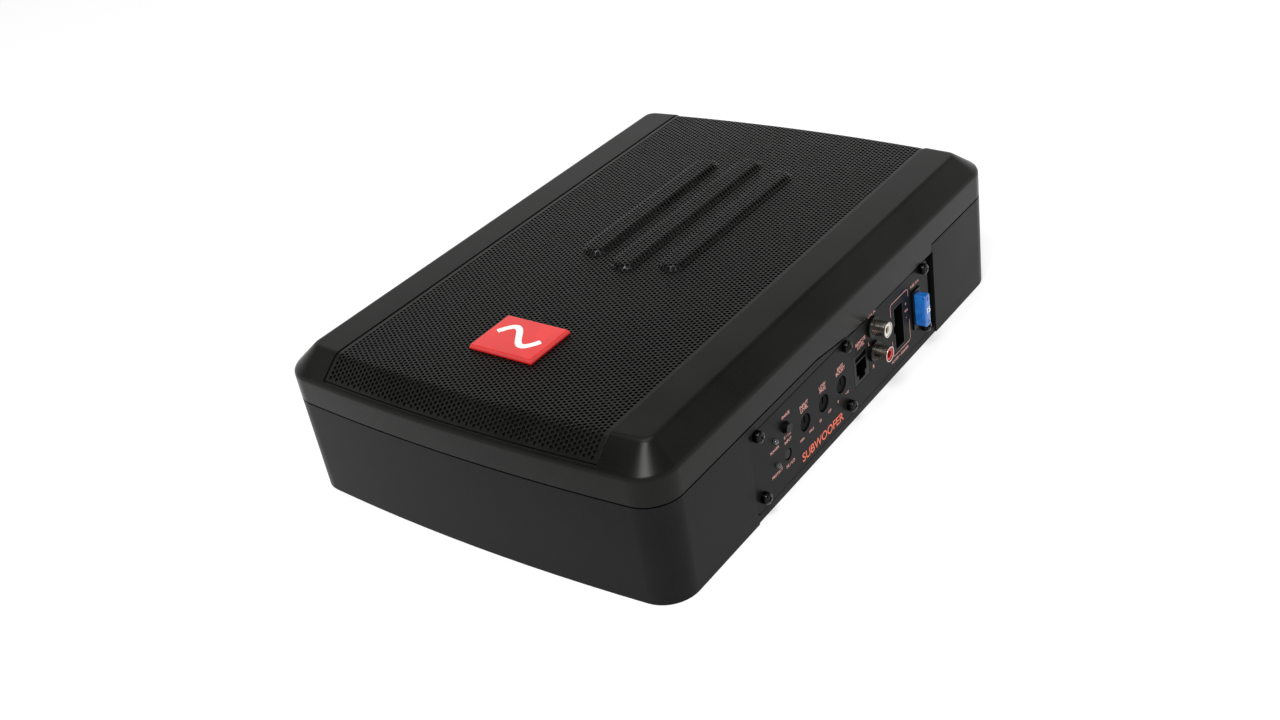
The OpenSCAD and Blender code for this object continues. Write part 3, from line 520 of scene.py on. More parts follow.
def bending_ring(node, inside, count):
    """A ring between the node inside it and the basket, cut into sectors round it."""
    _, high = edges(node)
    _, hole = edges(inside)
    mid_x, mid_y = (hole.x + high.x) / 2, (hole.y + high.y) / 2
    reach = (high.x - hole.x) * RING_SHARE
    sectors = []
    for k in range(count):
        turn = math.tau * k / count
        out = Vector((math.cos(turn) / mid_x, math.sin(turn) / mid_y, 0)).normalized() * reach
        cuts = [(Vector((0, 0, 0)), -out)]
        for side in (-1, 1):
            edge = math.tau * (k + side / 2) / count
            cuts.append((Vector((mid_x * math.cos(edge), mid_y * math.sin(edge), 0)) * MM,
                         Vector((-mid_x * math.sin(edge), mid_y * math.cos(edge), 0)) * side))
        shape = copied(node)
        for point, way in cuts:
            cut_off(shape, point, way.normalized())
            bmesh.ops.holes_fill(shape, edges=[e for e in shape.edges if e.is_boundary])
        sectors.append(bending(f"{node}_sector_{k + 1}", shape, node))
    return sectors


def bending_leads():
    """The braided leads, whose inner ends meet the cone and whose outer ends are on the terminals, as one
    soft piece.
    """
    return bending("tinsel_leads_braided", copied("tinsel_leads"), "tinsel_leads")


# ---- control panel


HEAD_R = 3.1
SHANK_R = 1.4
SHANK_L = 4.5
CROSS_REACH = 1.7
CROSS_HALF = 0.36
CROSS_DEPTH = 1.5
SCREW_TURN = 35
# The head's side from its foot up, as how far in from its edge and how high, and the last bend below its top.
HEAD_SIDE = [(0.15, 0), (0, 0.2), (0, 2.4), (0.2, 2.9), (0.6, 3.4)]
HEAD_TOP = (1.2, 0.12)


def panel_screws():
    """Six pan-head screws that stand proud of the panel, each with a cross recess at its own turn."""
    low, high = edges("panel_screws")
    head_h = PANEL_Y - low.y
    rows = (low.z + HEAD_R, high.z - HEAD_R)
    columns = (low.x + HEAD_R, (low.x + high.x) / 2, high.x - HEAD_R)
    side = [(HEAD_R - inward, up) for inward, up in HEAD_SIDE]
    side += [(HEAD_R - HEAD_TOP[0], head_h - HEAD_TOP[1]), (0, head_h)]
    one = piece("cutter", *turned([(0, -SHANK_L), (SHANK_R, -SHANK_L), (SHANK_R, 0)] + side))
    for x, y in ((CROSS_REACH, CROSS_HALF), (CROSS_HALF, CROSS_REACH)):
        carve(one, block(-x, x, -y, y, head_h - CROSS_DEPTH, head_h + 1))
    pattern = bmesh.new()
    for n, (x, z) in enumerate((x, z) for x in columns for z in rows):
        each = one.data.copy()
        turn = Matrix.Rotation(math.radians(SCREW_TURN * n), 4, "Z")
        each.transform(Matrix.Translation(Vector((x, PANEL_Y, z)) * MM) @ UPRIGHT @ turn)
        pattern.from_mesh(each)
        bpy.data.meshes.remove(each)
    bpy.data.objects.remove(one)
    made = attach(from_bmesh("panel_screws_cross", pattern), "casing")
    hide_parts("panel_screws")
    return smooth(made)


CAP_DEPTH = 7.2
CAP_ROUNDING = 0.9
GRIP_DEPTH = 0.35
GRIP_START = 3.4
GRIP_END = 6.2
TEST_SLOT = (0.55, 1.4, 1.1)
TEST_SLOT_IN = 2.55
SKIRT_IN = (0.7, 0.8)
RATING_SIZE = 3.4


def blade_fuse():
    """The fuse's moulded body: a rounded cap with finger grooves, two test slots and its rating."""
    low, high = edges("fuse_body")
    cap_back = low.y + CAP_DEPTH
    cap = block(low.x, high.x, low.y, cap_back, low.z, high.z)
    soften(cap, CAP_ROUNDING, 4)
    for side, inward in ((low.x, GRIP_DEPTH), (high.x, -GRIP_DEPTH)):
        x0, x1 = sorted((side - inward * 4, side + inward))
        carve(cap, block(x0, x1, low.y + GRIP_START, cap_back + 1, low.z + GRIP_END, high.z - GRIP_END))
    middle_x, middle_z = (low.x + high.x) / 2, (low.z + high.z) / 2
    half_x, deep, half_z = TEST_SLOT
    x0, x1 = middle_x - half_x, middle_x + half_x
    for z in (low.z + TEST_SLOT_IN, high.z - TEST_SLOT_IN):
        carve(cap, block(x0, x1, low.y - 1, low.y + deep, z - half_z, z + half_z))
    in_x, in_z = SKIRT_IN
    skirt = block(low.x + in_x, high.x - in_x, cap_back - 0.2, high.y, low.z + in_z, high.z - in_z)
    carve(cap, skirt, "UNION")
    cap.name = "fuse_cap"
    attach(cap, "fuse")
    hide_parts("fuse_body")
    mark = [("15", middle_x, middle_z - 1.4, RATING_SIZE)]
    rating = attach(lettering("fuse_rating", mark, low.y, RATING_RAISED), "fuse")
    return smooth(cap), rating


CAPITAL_TO_FONT = 1.4
LINE_SPACE = 0.82
STROKE = 0.012
RATING_RAISED = 0.12


def lettering(name, labels, face_y, raised, weight=STROKE):
    """Words on an upright face, as one flat piece. Each label is (text, x, z of its foot, size)."""
    shape = bmesh.new()
    for text, x, z, size in labels:
        curve = bpy.data.curves.new("label", "FONT")
        curve.body = text
        curve.size = size * CAPITAL_TO_FONT * MM
        curve.align_x = "CENTER"
        curve.space_line = LINE_SPACE
        curve.offset = weight * size * MM
        curve.extrude = raised / 2 * MM
        holder = placed("label", curve)
        bpy.context.view_layer.update()
        flat = bpy.data.meshes.new_from_object(holder.evaluated_get(bpy.context.evaluated_depsgraph_get()))
        flat.transform(Matrix.Translation(Vector((x, face_y - raised / 2, z)) * MM) @ UPRIGHT)
        shape.from_mesh(flat)
        bpy.data.objects.remove(holder)
        bpy.data.meshes.remove(flat)
    return from_bmesh(name, shape)


def printed_lines(name, paths, width, face_y, raised):
    """Thin printed lines on the panel's face, each through a list of (x, z) points."""
    points, faces = [], []
    for path in paths:
        for (x0, z0), (x1, z1) in zip(path, path[1:]):
            length = math.hypot(x1 - x0, z1 - z0)
            ex, ez = (x1 - x0) / length * width / 2, (z1 - z0) / length * width / 2
            base = len(points)
            flat = [(x0 - ex + ez, z0 - ez - ex), (x0 - ex - ez, z0 - ez + ex),
                    (x1 + ex - ez, z1 + ez + ex), (x1 + ex + ez, z1 + ez - ex)]
            points += [(x, face_y - raised, z) for x, z in flat]
            faces.append((base, base + 3, base + 2, base + 1))
    return piece(name, points, faces)


INK = 0.03
LINE_W = 0.35
TITLE = ("SUBWOOFER", -30.7, 2.9, 4.9)
TITLE_STROKE = 0.018
KNOB_LABELS = [
    # node, its name, and the words at its two ends
    ("gain_knob", "INPUT\nLEVEL", "MIN", "MAX"),
    ("crossover_knob", "LOW\nPASS", "50", "120"),
    ("boost_knob", "BASS\nBOOST", "0", "+12"),
]
KNOB_NAME = (5.4, 2.0)
KNOB_END = (4.6, -4.2, 1.5)
LABELS = [
    # words, node beside them, from its top or its foot, steps right and up from there, letter height
    ("PHASE", "phase_button", "top", 1.5, 2.6, 1.8),
    ("0 / 180", "phase_button", "foot", 1.0, -3.4, 1.6),
    ("INPUT", "phase_button", "foot", 1.0, -6.6, 1.6),
    ("HI / LO", "input_button", "foot", 1.0, -4.2, 1.8),
    ("POWER", "indicator_lenses", "top", -1.2, -6.6, 1.6),
    ("PROTECT", "indicator_lenses", "foot", -1.2, -3.4, 1.6),
    ("REMOTE\nLEVEL", "remote_socket", "top", 1.0, 4.6, 2.0),
    ("LINE IN", "phono_shells", "top", 0.5, 2.3, 1.7),
    ("L", "phono_shells", "top", -4.6, -13.2, 2.2),
    ("R", "phono_shells", "foot", -1.5, -5.6, 2.2),
    ("POWER + SPEAKER", "power_socket", "foot", -1.0, -2.9, 1.6),
    ("+", "power_socket", "top", 8.4, -5.65, 2.2),
    ("REM", "power_socket", "top", 8.7, -9.45, 1.3),
    ("-", "power_socket", "top", 8.4, -13.65, 2.2),
    ("FUSE 15 A", "fuse_body", "top", 0.0, 4.6, 1.6),
]
FRAME_LEFT = 2.6
FRAME_RIGHT = 5.6
FRAME_CUT = 1.2
FRAME_FOOT = 0.5
FRAME_TOP = 3.35
# Where the line breaks off: on the left, down from the socket's top and up from its foot; on the right,
# twice down from its top.
FRAME_STOPS = (3.55, 9.9, 1.45, 15.65)


def panel_print():
    """Labels by each control and socket, in generic words only, and a broken line round the power socket."""
    labels = []
    for node, text, least, most in KNOB_LABELS:
        low, high = edges(node)
        x = (low.x + high.x) / 2
        rise, size = KNOB_NAME
        apart, drop, small = KNOB_END
        labels += [(text, x, high.z + rise, size), (least, x - apart, low.z + drop, small),
                   (most, x + apart, low.z + drop, small)]
    for text, node, start, right, up, size in LABELS:
        low, high = edges(node)
        labels.append((text, (low.x + high.x) / 2 + right, (high.z if start == "top" else low.z) + up, size))
    words = lettering("panel_lettering", labels, PANEL_Y, INK)
    text, right, up, size = TITLE
    title = lettering("panel_title", [(text, PANEL_X + right, PANEL_LOW.z + up, size)], PANEL_Y, INK,
                      TITLE_STROKE)
    for made in (words, title):
        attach(made, "casing")
    low, high = edges("power_socket")
    x0, x1 = low.x - FRAME_LEFT, high.x + FRAME_RIGHT
    z0, z1 = low.z + FRAME_FOOT, high.z + FRAME_TOP
    left_down, left_up, right_down, right_far = FRAME_STOPS
    upper = [(x0, high.z - left_down), (x0, z1 - FRAME_CUT), (x0 + FRAME_CUT, z1), (x1 - FRAME_CUT, z1),
             (x1, z1 - FRAME_CUT), (x1, high.z - right_down)]
    lower = [(x1, high.z - right_far), (x1, z0 + FRAME_CUT), (x1 - FRAME_CUT, z0), (x0 + FRAME_CUT, z0),
             (x0, z0 + FRAME_CUT), (x0, low.z + left_up)]
    return words, printed_lines("panel_print_lines", [upper, lower], LINE_W, PANEL_Y, INK), title


# ---- materials


def linear(hex_colour):
    """The linear colour of an sRGB hex value."""
    parts = [int(hex_colour[i:i + 2], 16) / 255 for i in (1, 3, 5)]
    return [c / 12.92 if c <= 0.04045 else ((c + 0.055) / 1.055) ** 2.4 for c in parts] + [1.0]


def add(tree, kind, settings=None, stops=(), **inputs):
    """Adds a shader node. Settings are its properties, and stops a ramp's places and colours. Each input is
    named, or i0, i1 and so on by place. It is given a constant, the socket that feeds it, or the node whose
    first output does."""
    made = tree.nodes.new(kind)
    for key, value in (settings or {}).items():
        setattr(made, key, value)
    for n, (at, colour) in enumerate(stops):
        ramp = made.color_ramp.elements
        if n == 0:
            ramp.remove(ramp[1])
        stop = ramp.new(at) if n else ramp[0]
        stop.position = at
        stop.color = colour
    for key, value in inputs.items():
        place = int(key[1:]) if key[0] == "i" and key[1:].isdigit() else key.replace("_", " ")
        socket = made.inputs[place]
        if isinstance(value, bpy.types.Node):
            value = value.outputs[0]
        if isinstance(value, bpy.types.NodeSocket):
            tree.links.new(value, socket)
        else:
            socket.default_value = value
    return made


# Real sizes of the patterns, in millimetres. Those marked coarse are finer on the real thing.
ORANGE_PEEL = 0.9
PLATING_PATCH = 6
PULP_FIBRE = 1.6
PULP_PATCH = 18
BOARD_TRACK = 24
GLASS_WEAVE = 0.7
INK_SPOT = 0.8  # coarse: a printing mesh is nearer 0.1
PAPER_TOOTH = 3  # coarse: paper's tooth is nearer 0.3


def blank(name):
    """A new material with an empty node tree, that tree, and the place on the object that patterns follow."""
    made = bpy.data.materials.new(name)
    made.use_nodes = True
    tree = made.node_tree
    tree.nodes.clear()
    return made, tree, add(tree, "ShaderNodeTexCoord").outputs["Object"]


def per_metre(size_mm):
    """The scale of a pattern whose features are this many millimetres."""
    return 1 / (size_mm * MM)


def tones(dark, light, start=0.35, end=0.65):
    """A ramp's stops from one hex colour to another, as a pattern goes from start to end."""
    return [(start, linear(dark)), (end, linear(light))]


def grained(name, dark, light, grain_mm, depth_mm, rough, cloud_mm=45, sheen=0.2, edge_mm=0.0):
    """A dark moulded or powder-coated surface: a fine grain that breaks up the light and traps part of its
    sheen, and slow clouds of tone and gloss as handling and moulding leave them. A punched sheet's edges
    can be softened, so that each hole's rim catches the light."""
    made, tree, place = blank(name)
    grain = add(tree, "ShaderNodeTexNoise", Vector=place, Scale=per_metre(grain_mm), Detail=3.0,
                Roughness=0.6)
    pits = add(tree, "ShaderNodeTexVoronoi", Vector=place, Scale=per_metre(grain_mm * 0.8))
    clouds = add(tree, "ShaderNodeTexNoise", Vector=place, Scale=per_metre(cloud_mm), Detail=4.0)
    both = add(tree, "ShaderNodeMath", {"operation": "ADD"}, i0=grain, i1=pits)
    bump = add(tree, "ShaderNodeBump", Strength=0.55, Distance=depth_mm * MM, Height=both)
    if edge_mm:
        soft_edge = add(tree, "ShaderNodeBevel", {"samples": 4}, Radius=edge_mm * MM)
        tree.links.new(soft_edge.outputs[0], bump.inputs["Normal"])
    slow = add(tree, "ShaderNodeMath", {"operation": "MULTIPLY"}, i0=clouds, i1=0.55)
    tone = add(tree, "ShaderNodeMath", {"operation": "MULTIPLY_ADD"}, i0=grain, i1=0.45, i2=slow)
    colour = add(tree, "ShaderNodeValToRGB", stops=tones(dark, light), Fac=tone)
    gloss = add(tree, "ShaderNodeMapRange", Value=clouds, From_Min=0.3, From_Max=0.7,
                To_Min=rough - 0.05, To_Max=rough + 0.05)
    shade = add(tree, "ShaderNodeBsdfPrincipled", Base_Color=colour, Roughness=gloss,
                Normal=bump, Specular_IOR_Level=sheen)
    add(tree, "ShaderNodeOutputMaterial", Surface=shade)
    return made


def plated(name, dull, bright, rough, streak_mm=0.4, stretch=(1, 1, 12), depth_mm=0.01):
    """A plated or drawn metal: fine streaks one way from rolling or turning, and patches of gloss."""
    made, tree, place = blank(name)
    drawn = add(tree, "ShaderNodeMapping", Vector=place, Scale=[per_metre(streak_mm) / s for s in stretch])
    streaks = add(tree, "ShaderNodeTexNoise", Vector=drawn, Scale=1.0, Detail=3.0)
    patches = add(tree, "ShaderNodeTexNoise", Vector=place, Scale=per_metre(PLATING_PATCH), Detail=3.0)
    bump = add(tree, "ShaderNodeBump", Strength=0.3, Distance=depth_mm * MM, Height=streaks)
    colour = add(tree, "ShaderNodeValToRGB", stops=tones(dull, bright), Fac=patches)
    gloss = add(tree, "ShaderNodeMapRange", Value=streaks, From_Min=0.3, From_Max=0.7,
                To_Min=rough - 0.06, To_Max=rough + 0.08)
    shade = add(tree, "ShaderNodeBsdfPrincipled", Base_Color=colour, Metallic=1.0,
                Roughness=gloss, Normal=bump)
    add(tree, "ShaderNodeOutputMaterial", Surface=shade)
    return made


def moulded(name, dark, light, rough, flow_mm=14, **more):
    """A smooth coloured moulding: faint flow marks in its colour, and a slight orange peel in its gloss."""
    made, tree, place = blank(name)
    flow = add(tree, "ShaderNodeTexNoise", Vector=place, Scale=per_metre(flow_mm), Detail=3.0, Distortion=0.8)
    peel = add(tree, "ShaderNodeTexNoise", Vector=place, Scale=per_metre(ORANGE_PEEL), Detail=2.0)
    bump = add(tree, "ShaderNodeBump", Strength=0.25, Distance=0.03 * MM, Height=peel)
    colour = add(tree, "ShaderNodeValToRGB", stops=tones(dark, light), Fac=flow)
    gloss = add(tree, "ShaderNodeMapRange", Value=flow, From_Min=0.3, From_Max=0.7,
                To_Min=rough - 0.03, To_Max=rough + 0.05)
    shade = add(tree, "ShaderNodeBsdfPrincipled", Base_Color=colour, Roughness=gloss,
                Normal=bump, **more)
    add(tree, "ShaderNodeOutputMaterial", Surface=shade)
    return made


def woven_cloth(name, dark, light, thread_mm):
    """Resin-dipped cotton: two sets of threads crossing, stiffened and slightly shiny with resin."""
    made, tree, place = blank(name)
    waves = [add(tree, "ShaderNodeTexWave", {"wave_type": "BANDS", "bands_direction": axis}, Vector=place,
                 Scale=per_metre(thread_mm) / math.tau * 2, Distortion=0.6, Detail=1.0) for axis in "XY"]
    weave = add(tree, "ShaderNodeMath", {"operation": "MULTIPLY"}, i0=waves[0].outputs["Fac"],
                i1=waves[1].outputs["Fac"])
    bump = add(tree, "ShaderNodeBump", Strength=0.6, Distance=0.15 * MM, Height=weave)
    colour = add(tree, "ShaderNodeValToRGB", stops=tones(dark, light, 0.1, 0.7), Fac=weave)
    shade = add(tree, "ShaderNodeBsdfPrincipled", Base_Color=colour, Roughness=0.7,
                Normal=bump, Sheen_Weight=0.1)
    add(tree, "ShaderNodeOutputMaterial", Surface=shade)
    return made


def pressed_pulp(name, dark, light):
    """Pressed paper pulp: short fibres lying every way, matt, with thin and thick patches."""
    made, tree, place = blank(name)
    fibres = add(tree, "ShaderNodeTexNoise", Vector=place, Scale=per_metre(PULP_FIBRE), Detail=6.0,
                 Roughness=0.7, Distortion=3.0)
    patches = add(tree, "ShaderNodeTexNoise", Vector=place, Scale=per_metre(PULP_PATCH), Detail=3.0)
    bump = add(tree, "ShaderNodeBump", Strength=0.6, Distance=0.12 * MM, Height=fibres)
    slow = add(tree, "ShaderNodeMath", {"operation": "MULTIPLY"}, i0=patches, i1=0.4)
    tone = add(tree, "ShaderNodeMath", {"operation": "MULTIPLY_ADD"}, i0=fibres, i1=0.6, i2=slow)
    colour = add(tree, "ShaderNodeValToRGB", stops=tones(dark, light), Fac=tone)
    gloss = add(tree, "ShaderNodeMapRange", Value=fibres, From_Min=0.3, From_Max=0.7,
                To_Min=0.7, To_Max=0.9)
    shade = add(tree, "ShaderNodeBsdfPrincipled", Base_Color=colour, Roughness=gloss,
                Normal=bump)
    add(tree, "ShaderNodeOutputMaterial", Surface=shade)
    return made


def circuit_board(name):
    """Glass-fibre board under green solder mask: copper tracks show as paler lines, and the weave faintly."""
    made, tree, place = blank(name)
    tracks = add(tree, "ShaderNodeTexBrick", {"offset": 0.37, "squash": 1.4}, Vector=place,
                 Scale=per_metre(BOARD_TRACK), Mortar_Size=0.03, Mortar_Smooth=0.2, Color1=linear("#1d6a37"),
                 Color2=linear("#185b2f"), Mortar=linear("#2f8a4b"))
    weave = add(tree, "ShaderNodeTexNoise", Vector=place, Scale=per_metre(GLASS_WEAVE), Detail=2.0)
    bump = add(tree, "ShaderNodeBump", Strength=0.4, Distance=0.035 * MM, Height=tracks.outputs["Fac"])
    gloss = add(tree, "ShaderNodeMapRange", Value=weave, From_Min=0.3, From_Max=0.7,
                To_Min=0.28, To_Max=0.42)
    shade = add(tree, "ShaderNodeBsdfPrincipled", Base_Color=tracks.outputs["Color"],
                Roughness=gloss, Normal=bump, Coat_Weight=0.3)
    add(tree, "ShaderNodeOutputMaterial", Surface=shade)
    return made


def screen_ink(name, thin, thick):
    """Screen-printed ink: almost opaque, thinner where the mesh left less of it."""
    made, tree, place = blank(name)
    laid = add(tree, "ShaderNodeTexNoise", Vector=place, Scale=per_metre(INK_SPOT), Detail=3.0)
    colour = add(tree, "ShaderNodeValToRGB", stops=tones(thin, thick, 0.3, 0.6), Fac=laid)
    gloss = add(tree, "ShaderNodeMapRange", Value=laid, From_Min=0.3, From_Max=0.7,
                To_Min=0.45, To_Max=0.6)
    shade = add(tree, "ShaderNodeBsdfPrincipled", Base_Color=colour, Roughness=gloss)
    add(tree, "ShaderNodeOutputMaterial", Surface=shade)
    return made


def finishes():
    """Every finish by name. Grain and streaks finer than about 0.3 mm are drawn at 0.3 to 1 mm, so that
    they show."""
    return {
        # Textured black powder coat on die-cast alloy: a soft, even sheen broken by a fine grain.
        "powder_coat": grained("textured_powder_coat", "#0e0e0f", "#191919", 0.8, 0.018, 0.38, sheen=0.08),
        # Black ABS from a spark-eroded mould: warmer and glossier than the coat, so the cover reads apart.
        "cover_abs": grained("spark_eroded_abs", "#0b0b0a", "#151513", 0.9, 0.014, 0.3, sheen=0.13),
        # Satin black paint on steel plate: flat and quiet, so the printing stands out.
        "panel_paint": grained("satin_panel_paint", "#0e0e0f", "#181819", 0.7, 0.012, 0.38, sheen=0.07),
        # Satin black coat on punched steel: dark holes between webs whose rubbed rims glint.
        "grille_coat": grained("punched_sheet_coat", "#080807", "#11110f", 0.8, 0.012, 0.3, 30, 0.28, 0.3),
        # Glass-filled nylon knobs: near black, with no gloss.
        "knob_nylon": grained("knob_nylon", "#030303", "#080808", 0.6, 0.03, 0.5, 8, 0.04),
        # Moulded nylon sockets: deep black with a faint satin edge.
        "socket_nylon": grained("socket_nylon", "#040404", "#0a0a0a", 0.7, 0.02, 0.35, 10, 0.15),
        # Nitrile rubber gaskets: dull, with a dusty bloom.
        "gasket_rubber": grained("nitrile_rubber", "#0a0a0a", "#121212", 0.9, 0.04, 0.75, 12),
        # Butyl rubber surround: a soft satin roll round the cone.
        "surround_rubber": grained("butyl_rubber", "#101011", "#1c1c1d", 1.2, 0.03, 0.55, 20),
        # Stove paint on the pressed-steel basket: plain satin black.
        "basket_paint": grained("basket_stove_paint", "#141415", "#202022", 1.0, 0.02, 0.42),
        # Epoxy moulded round the transistors: charcoal, slightly gritty.
        "epoxy_case": grained("moulded_epoxy", "#0d0d0e", "#171718", 0.6, 0.03, 0.5, 8),
        # PVC shrink sleeve on the capacitors: slick and dark blue.
        "capacitor_sleeve": moulded("pvc_shrink_sleeve", "#10131c", "#181d2b", 0.25),
        # Sintered ferrite of the magnet: grey and matt, like fine stoneware.
        "ferrite": grained("sintered_ferrite", "#232426", "#333437", 1.0, 0.08, 0.6, 15),
        # Red acrylic badge: strong colour with a clear gloss over it.
        "badge_red": moulded("red_acrylic", "#c8120f", "#da1c17", 0.3, 22, Coat_Weight=0.6,
                             Coat_Roughness=0.12, IOR=1.49),
        # White pad-printed ink on the badge and the fuse: clean and half gloss.
        "white_ink": moulded("white_pad_ink", "#e9e6df", "#f6f3ee", 0.35),
        # White polypropylene in the upper signal socket: creamy, slightly waxy.
        "white_insulator": moulded("white_polypropylene", "#dedad0", "#f1eee6", 0.3, 5),
        # Red polypropylene in the lower signal socket: a small bright ring of colour.
        "red_insulator": moulded("red_polypropylene", "#b3121a", "#cd2029", 0.3, 5),
        # Polished black ABS buttons: dark, with only a slight shine.
        "button_abs": moulded("polished_button_abs", "#050505", "#0c0c0c", 0.3, 5, Specular_IOR_Level=0.15),
        # Tinted polycarbonate of the fuse: clear blue that light enters.
        "fuse_blue": moulded("blue_polycarbonate", "#1669c4", "#2a86e0", 0.22, 6, Transmission_Weight=0.25,
                             IOR=1.58, Coat_Weight=0.3),
        # Clear acrylic of the indicator lamps: smoky in the middle, with a bright rim.
        "lens_clear": moulded("clear_acrylic", "#7d8083", "#a2a5a8", 0.1, 3, Transmission_Weight=0.75,
                              IOR=1.49),
        # Soft PVC round the speaker leads: dull dark red.
        "lead_pvc": moulded("flexible_lead_pvc", "#7d0f0f", "#9a1616", 0.45),
        # Resin-dipped cotton of the spider: golden, with its weave showing.
        "spider_cloth": woven_cloth("dipped_cotton", "#a67c36", "#cfa860", 0.9),
        # Black paper pulp of the cone: matt and fibrous.
        "cone_pulp": pressed_pulp("black_paper_pulp", "#111214", "#24262a"),
        # Kraft paper of the coil's former: brown and matt.
        "kraft": pressed_pulp("kraft_paper", "#8f7448", "#b3955f"),
        # Green solder mask on glass fibre: glossy, with paler tracks.
        "circuit_board": circuit_board("solder_mask_board"),
        # Pink ink of the small labels: pale, so it stays readable on black.
        "label_ink": screen_ink("pink_screen_ink", "#d08a80", "#efada2"),
        # Orange ink of the title: the panel's one strong colour.
        "title_ink": screen_ink("orange_screen_ink", "#d8573a", "#f4714f"),
        # Nickel plate on the signal sockets: bright and faintly warm.
        "nickel": plated("nickel_plate", "#b9b5ab", "#dcd8cf", 0.2, 0.3),
        # Tin plate on contacts: soft and grey.
        "tin": plated("tin_plate", "#a9a7a0", "#c9c7c0", 0.38, 0.4),
        # Gold flash on the signal contacts: a thin yellow glint.
        "gold": plated("gold_flash", "#b98d3c", "#dcb35f", 0.25, 0.3),
        # Bright zinc on steel: cool silver, brushed.
        "zinc": plated("bright_zinc", "#8d8f92", "#b2b5b8", 0.35, 0.5, (1, 12, 1)),
        # Oiled black zinc on the screws: nearly black, with sharp small glints.
        "black_zinc": plated("oiled_black_zinc", "#131314", "#2b2b2d", 0.2, 0.4),
        # Turned brass inserts: yellow, with fine rings from the tool.
        "brass": plated("turned_brass", "#9c7a34", "#c9a24f", 0.3, 0.3),
        # Enamelled copper wire: red-brown streaks that read as the coil's turns.
        "copper": plated("enamelled_copper", "#8b4a1d", "#b9672e", 0.32, 0.5, (12, 12, 1), 0.05),
        # Extruded aluminium of the heat bar: pale, with long die lines.
        "aluminium": plated("extruded_aluminium", "#9c9ea1", "#bcbfc2", 0.4, 0.6, (14, 1, 1)),
    }


CAD_FINISHES = {
    "seam_gasket": "gasket_rubber", "driver_gasket": "gasket_rubber",
    "cone": "cone_pulp", "dust_cap": "cone_pulp", "coil_former": "kraft",
    "coil_winding": "copper", "transformer_winding": "copper",
    "transformer_core": "ferrite", "magnet": "ferrite", "top_plate": "zinc", "pole_yoke": "zinc",
    "driver_terminals": "tin", "driver_screws": "zinc", "driver_basket": "basket_paint",
    "speaker_leads": "lead_pvc", "main_board": "circuit_board", "control_board": "circuit_board",
    "board_screws": "zinc", "capacitors": "capacitor_sleeve", "power_transistors": "epoxy_case",
    "heat_bar": "aluminium", "potentiometers": "zinc", "button_switches": "socket_nylon",
    "gain_shaft": "zinc", "crossover_shaft": "zinc", "boost_shaft": "zinc", "fuse_clips": "tin",
}


def paint(target, material):
    """Gives every face of a piece one material, on the object and not on its mesh."""
    if not target.material_slots:
        target.data.materials.append(None)
    for held in target.material_slots:
        held.link = "OBJECT"
        held.material = material


# ---- pieces and their finishes


REFINED = {
    # node: (rounding in mm, finish, the record's slot)
    "bottom_pan": (0.5, "powder_coat", "pan_alloy"),
    "control_panel": (0.12, "panel_paint", "panel_plate"),
    "gain_knob": (0.3, "knob_nylon", "knob_nylon"),
    "crossover_knob": (0.3, "knob_nylon", "knob_nylon"),
    "boost_knob": (0.3, "knob_nylon", "knob_nylon"),
    "phase_button": (0.4, "button_abs", "button_abs"),
    "input_button": (0.4, "button_abs", "button_abs"),
    "indicator_lenses": (0.05, "lens_clear", "lens_clear"),
    "remote_socket": (0.25, "socket_nylon", "socket_nylon"),
    "remote_contacts": (0.08, "gold", "gold_contact"),
    "phono_block": (0.25, "socket_nylon", "socket_nylon"),
    "phono_shells": (0.12, "nickel", "nickel_shell"),
    "phono_insulator_white": (0.2, "white_insulator", "insulator_white"),
    "phono_insulator_red": (0.2, "red_insulator", "insulator_red"),
    "phono_contacts": (0.08, "gold", "gold_contact"),
    "power_socket": (0.2, "socket_nylon", "socket_nylon"),
    "power_pins": (0.15, "tin", "tin_plate"),
    "fuse_holder": (0.25, "socket_nylon", "socket_nylon"),
    "fuse_blades": (0.1, "tin", "tin_plate"),
    "case_screws": (0.3, "black_zinc", "black_screw"),
    "bracket_inserts": (0.2, "brass", "brass_insert"),
}


def dress():
    """Makes every shown piece and gives it and each CAD node its finish."""
    finish = finishes()

    def done(made, finish_name):
        paint(made, finish[finish_name])

    for node, finish_name in CAD_FINISHES.items():
        paint(nodes[node], finish[finish_name])
    for node, (width, finish_name, slot) in REFINED.items():
        done(refined(node, width), finish_name)
    done(cover(), "cover_abs")
    done(perforated_grille(), "grille_coat")
    plate, wave = badge()
    done(plate, "badge_red")
    done(wave, "white_ink")
    for sector in bending_ring("surround", "cone", SURROUND_SECTORS):
        done(sector, "surround_rubber")
    for sector in bending_ring("spider", "coil_former", SPIDER_SECTORS):
        done(sector, "spider_cloth")
    done(bending_leads(), "copper")
    done(panel_screws(), "black_zinc")
    cap, rating = blade_fuse()
    done(cap, "fuse_blue")
    done(rating, "white_ink")
    words, lines, title = panel_print()
    done(words, "label_ink")
    done(lines, "label_ink")
    done(title, "title_ink")


# ---- studio


FLOOR_REACH = 30.0
FLOOR_Z = -0.2
FLOOR_GLOW = 0.62
CAMERA_AZIMUTH = -48.96
CAMERA_ELEVATION = 31.31
CAMERA_ROLL = -10.17
CAMERA_DISTANCE = 806.08
CAMERA_AIM_Z = 40.0
CAMERA_RIGHT = -11.18
CAMERA_UP = -27.24
LENS = 41.14
SENSOR = 36
CLIP = (0.02, 100)


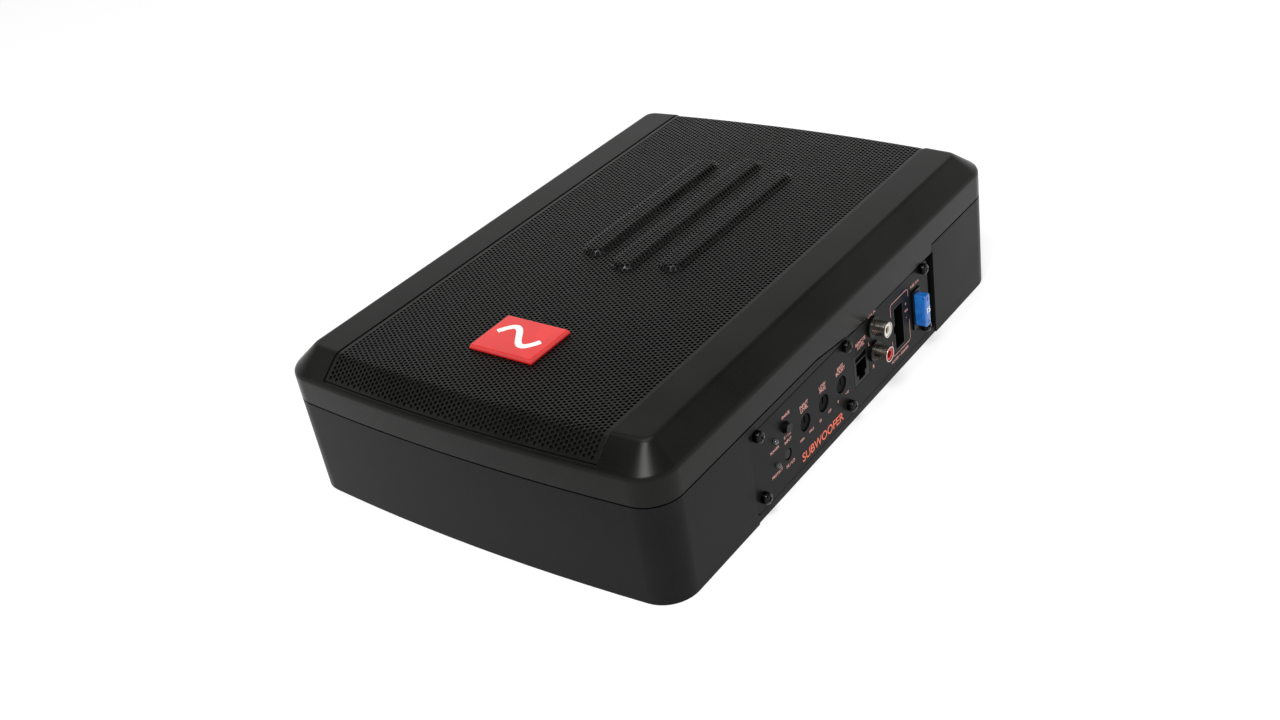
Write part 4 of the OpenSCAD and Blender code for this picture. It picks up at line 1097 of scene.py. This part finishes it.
def camera():
    """The camera, from its bearing round the body, its height angle, its roll and its distance."""
    a, e, turn = (math.radians(d) for d in (CAMERA_AZIMUTH, CAMERA_ELEVATION, CAMERA_ROLL))
    back = Vector((math.sin(a) * math.cos(e), -math.cos(a) * math.cos(e), math.sin(e)))
    level = (-back).cross(Vector((0, 0, 1))).normalized()
    upright = level.cross(-back)
    right = level * math.cos(turn) + upright * math.sin(turn)
    up = upright * math.cos(turn) - level * math.sin(turn)
    place = back * CAMERA_DISTANCE + Vector((0, 0, CAMERA_AIM_Z)) + right * CAMERA_RIGHT + up * CAMERA_UP
    data = bpy.data.cameras.new("camera")
    data.lens = LENS
    data.sensor_width = SENSOR
    data.clip_start, data.clip_end = CLIP
    made = placed("camera", data)
    made.matrix_world = Matrix.Translation(place * MM) @ Matrix((right, up, back)).transposed().to_4x4()
    scene.camera = made


def lamp(name, direction, distance, size, power):
    """A square soft light that faces the body from a direction, in metres and watts."""
    data = bpy.data.lights.new(name, "AREA")
    data.shape = "SQUARE"
    data.size = size
    data.energy = power
    way = Vector(direction).normalized()
    facing = way.to_track_quat("Z", "Y").to_matrix().to_4x4()
    placed(name, data).matrix_world = Matrix.Translation(way * distance) @ facing


def floor():
    """A plain pale floor that glows faintly, as white paper lit from all round does. It lies just under the
    pan, so that the two faces don't fight."""
    sheet = bpy.data.meshes.new("floor")
    sides = (-FLOOR_REACH, FLOOR_REACH)
    sheet.from_pydata([(x, y, FLOOR_Z * MM) for x in sides for y in sides], [], [(0, 2, 3, 1)])
    made = placed("floor", sheet)
    material, tree, place = blank("white_paper")
    tooth = add(tree, "ShaderNodeTexNoise", Vector=place, Scale=per_metre(PAPER_TOOTH), Detail=2.0)
    colour = add(tree, "ShaderNodeValToRGB", stops=tones("#acacac", "#b2b2b2"), Fac=tooth)
    shade = add(tree, "ShaderNodeBsdfPrincipled", Base_Color=colour, Roughness=0.9,
                Emission_Color=linear("#ffffff"), Emission_Strength=FLOOR_GLOW)
    add(tree, "ShaderNodeOutputMaterial", Surface=shade)
    paint(made, material)


def surroundings():
    """The room: white low down, a dim band above it and a soft glow overhead."""
    world = bpy.data.worlds.new("studio")
    scene.world = world
    world.use_nodes = True
    tree = world.node_tree
    tree.nodes.clear()
    way = add(tree, "ShaderNodeTexCoord").outputs["Generated"]
    height = add(tree, "ShaderNodeSeparateXYZ", Vector=way).outputs["Z"]
    levels = [(0.0, 1.0), (0.3, 1.0), (0.4, 0.95), (0.5, 0.6), (0.62, 0.26), (0.76, 0.12), (1.0, 0.3)]
    grey = [(at, (level, level, level, 1)) for at, level in levels]
    ramp = add(tree, "ShaderNodeValToRGB", stops=grey, Fac=height)
    glow = add(tree, "ShaderNodeBackground", Color=ramp, Strength=1.0)
    add(tree, "ShaderNodeOutputWorld", Surface=glow)
    scene.view_settings.view_transform = "Standard"


dress()
camera()
floor()
surroundings()
lamp("overhead", direction=(0.1, 0.1, 1.0), distance=2.6, size=1.5, power=24)
lamp("key", direction=(-0.46, -0.22, 0.86), distance=1.42, size=0.42, power=12)
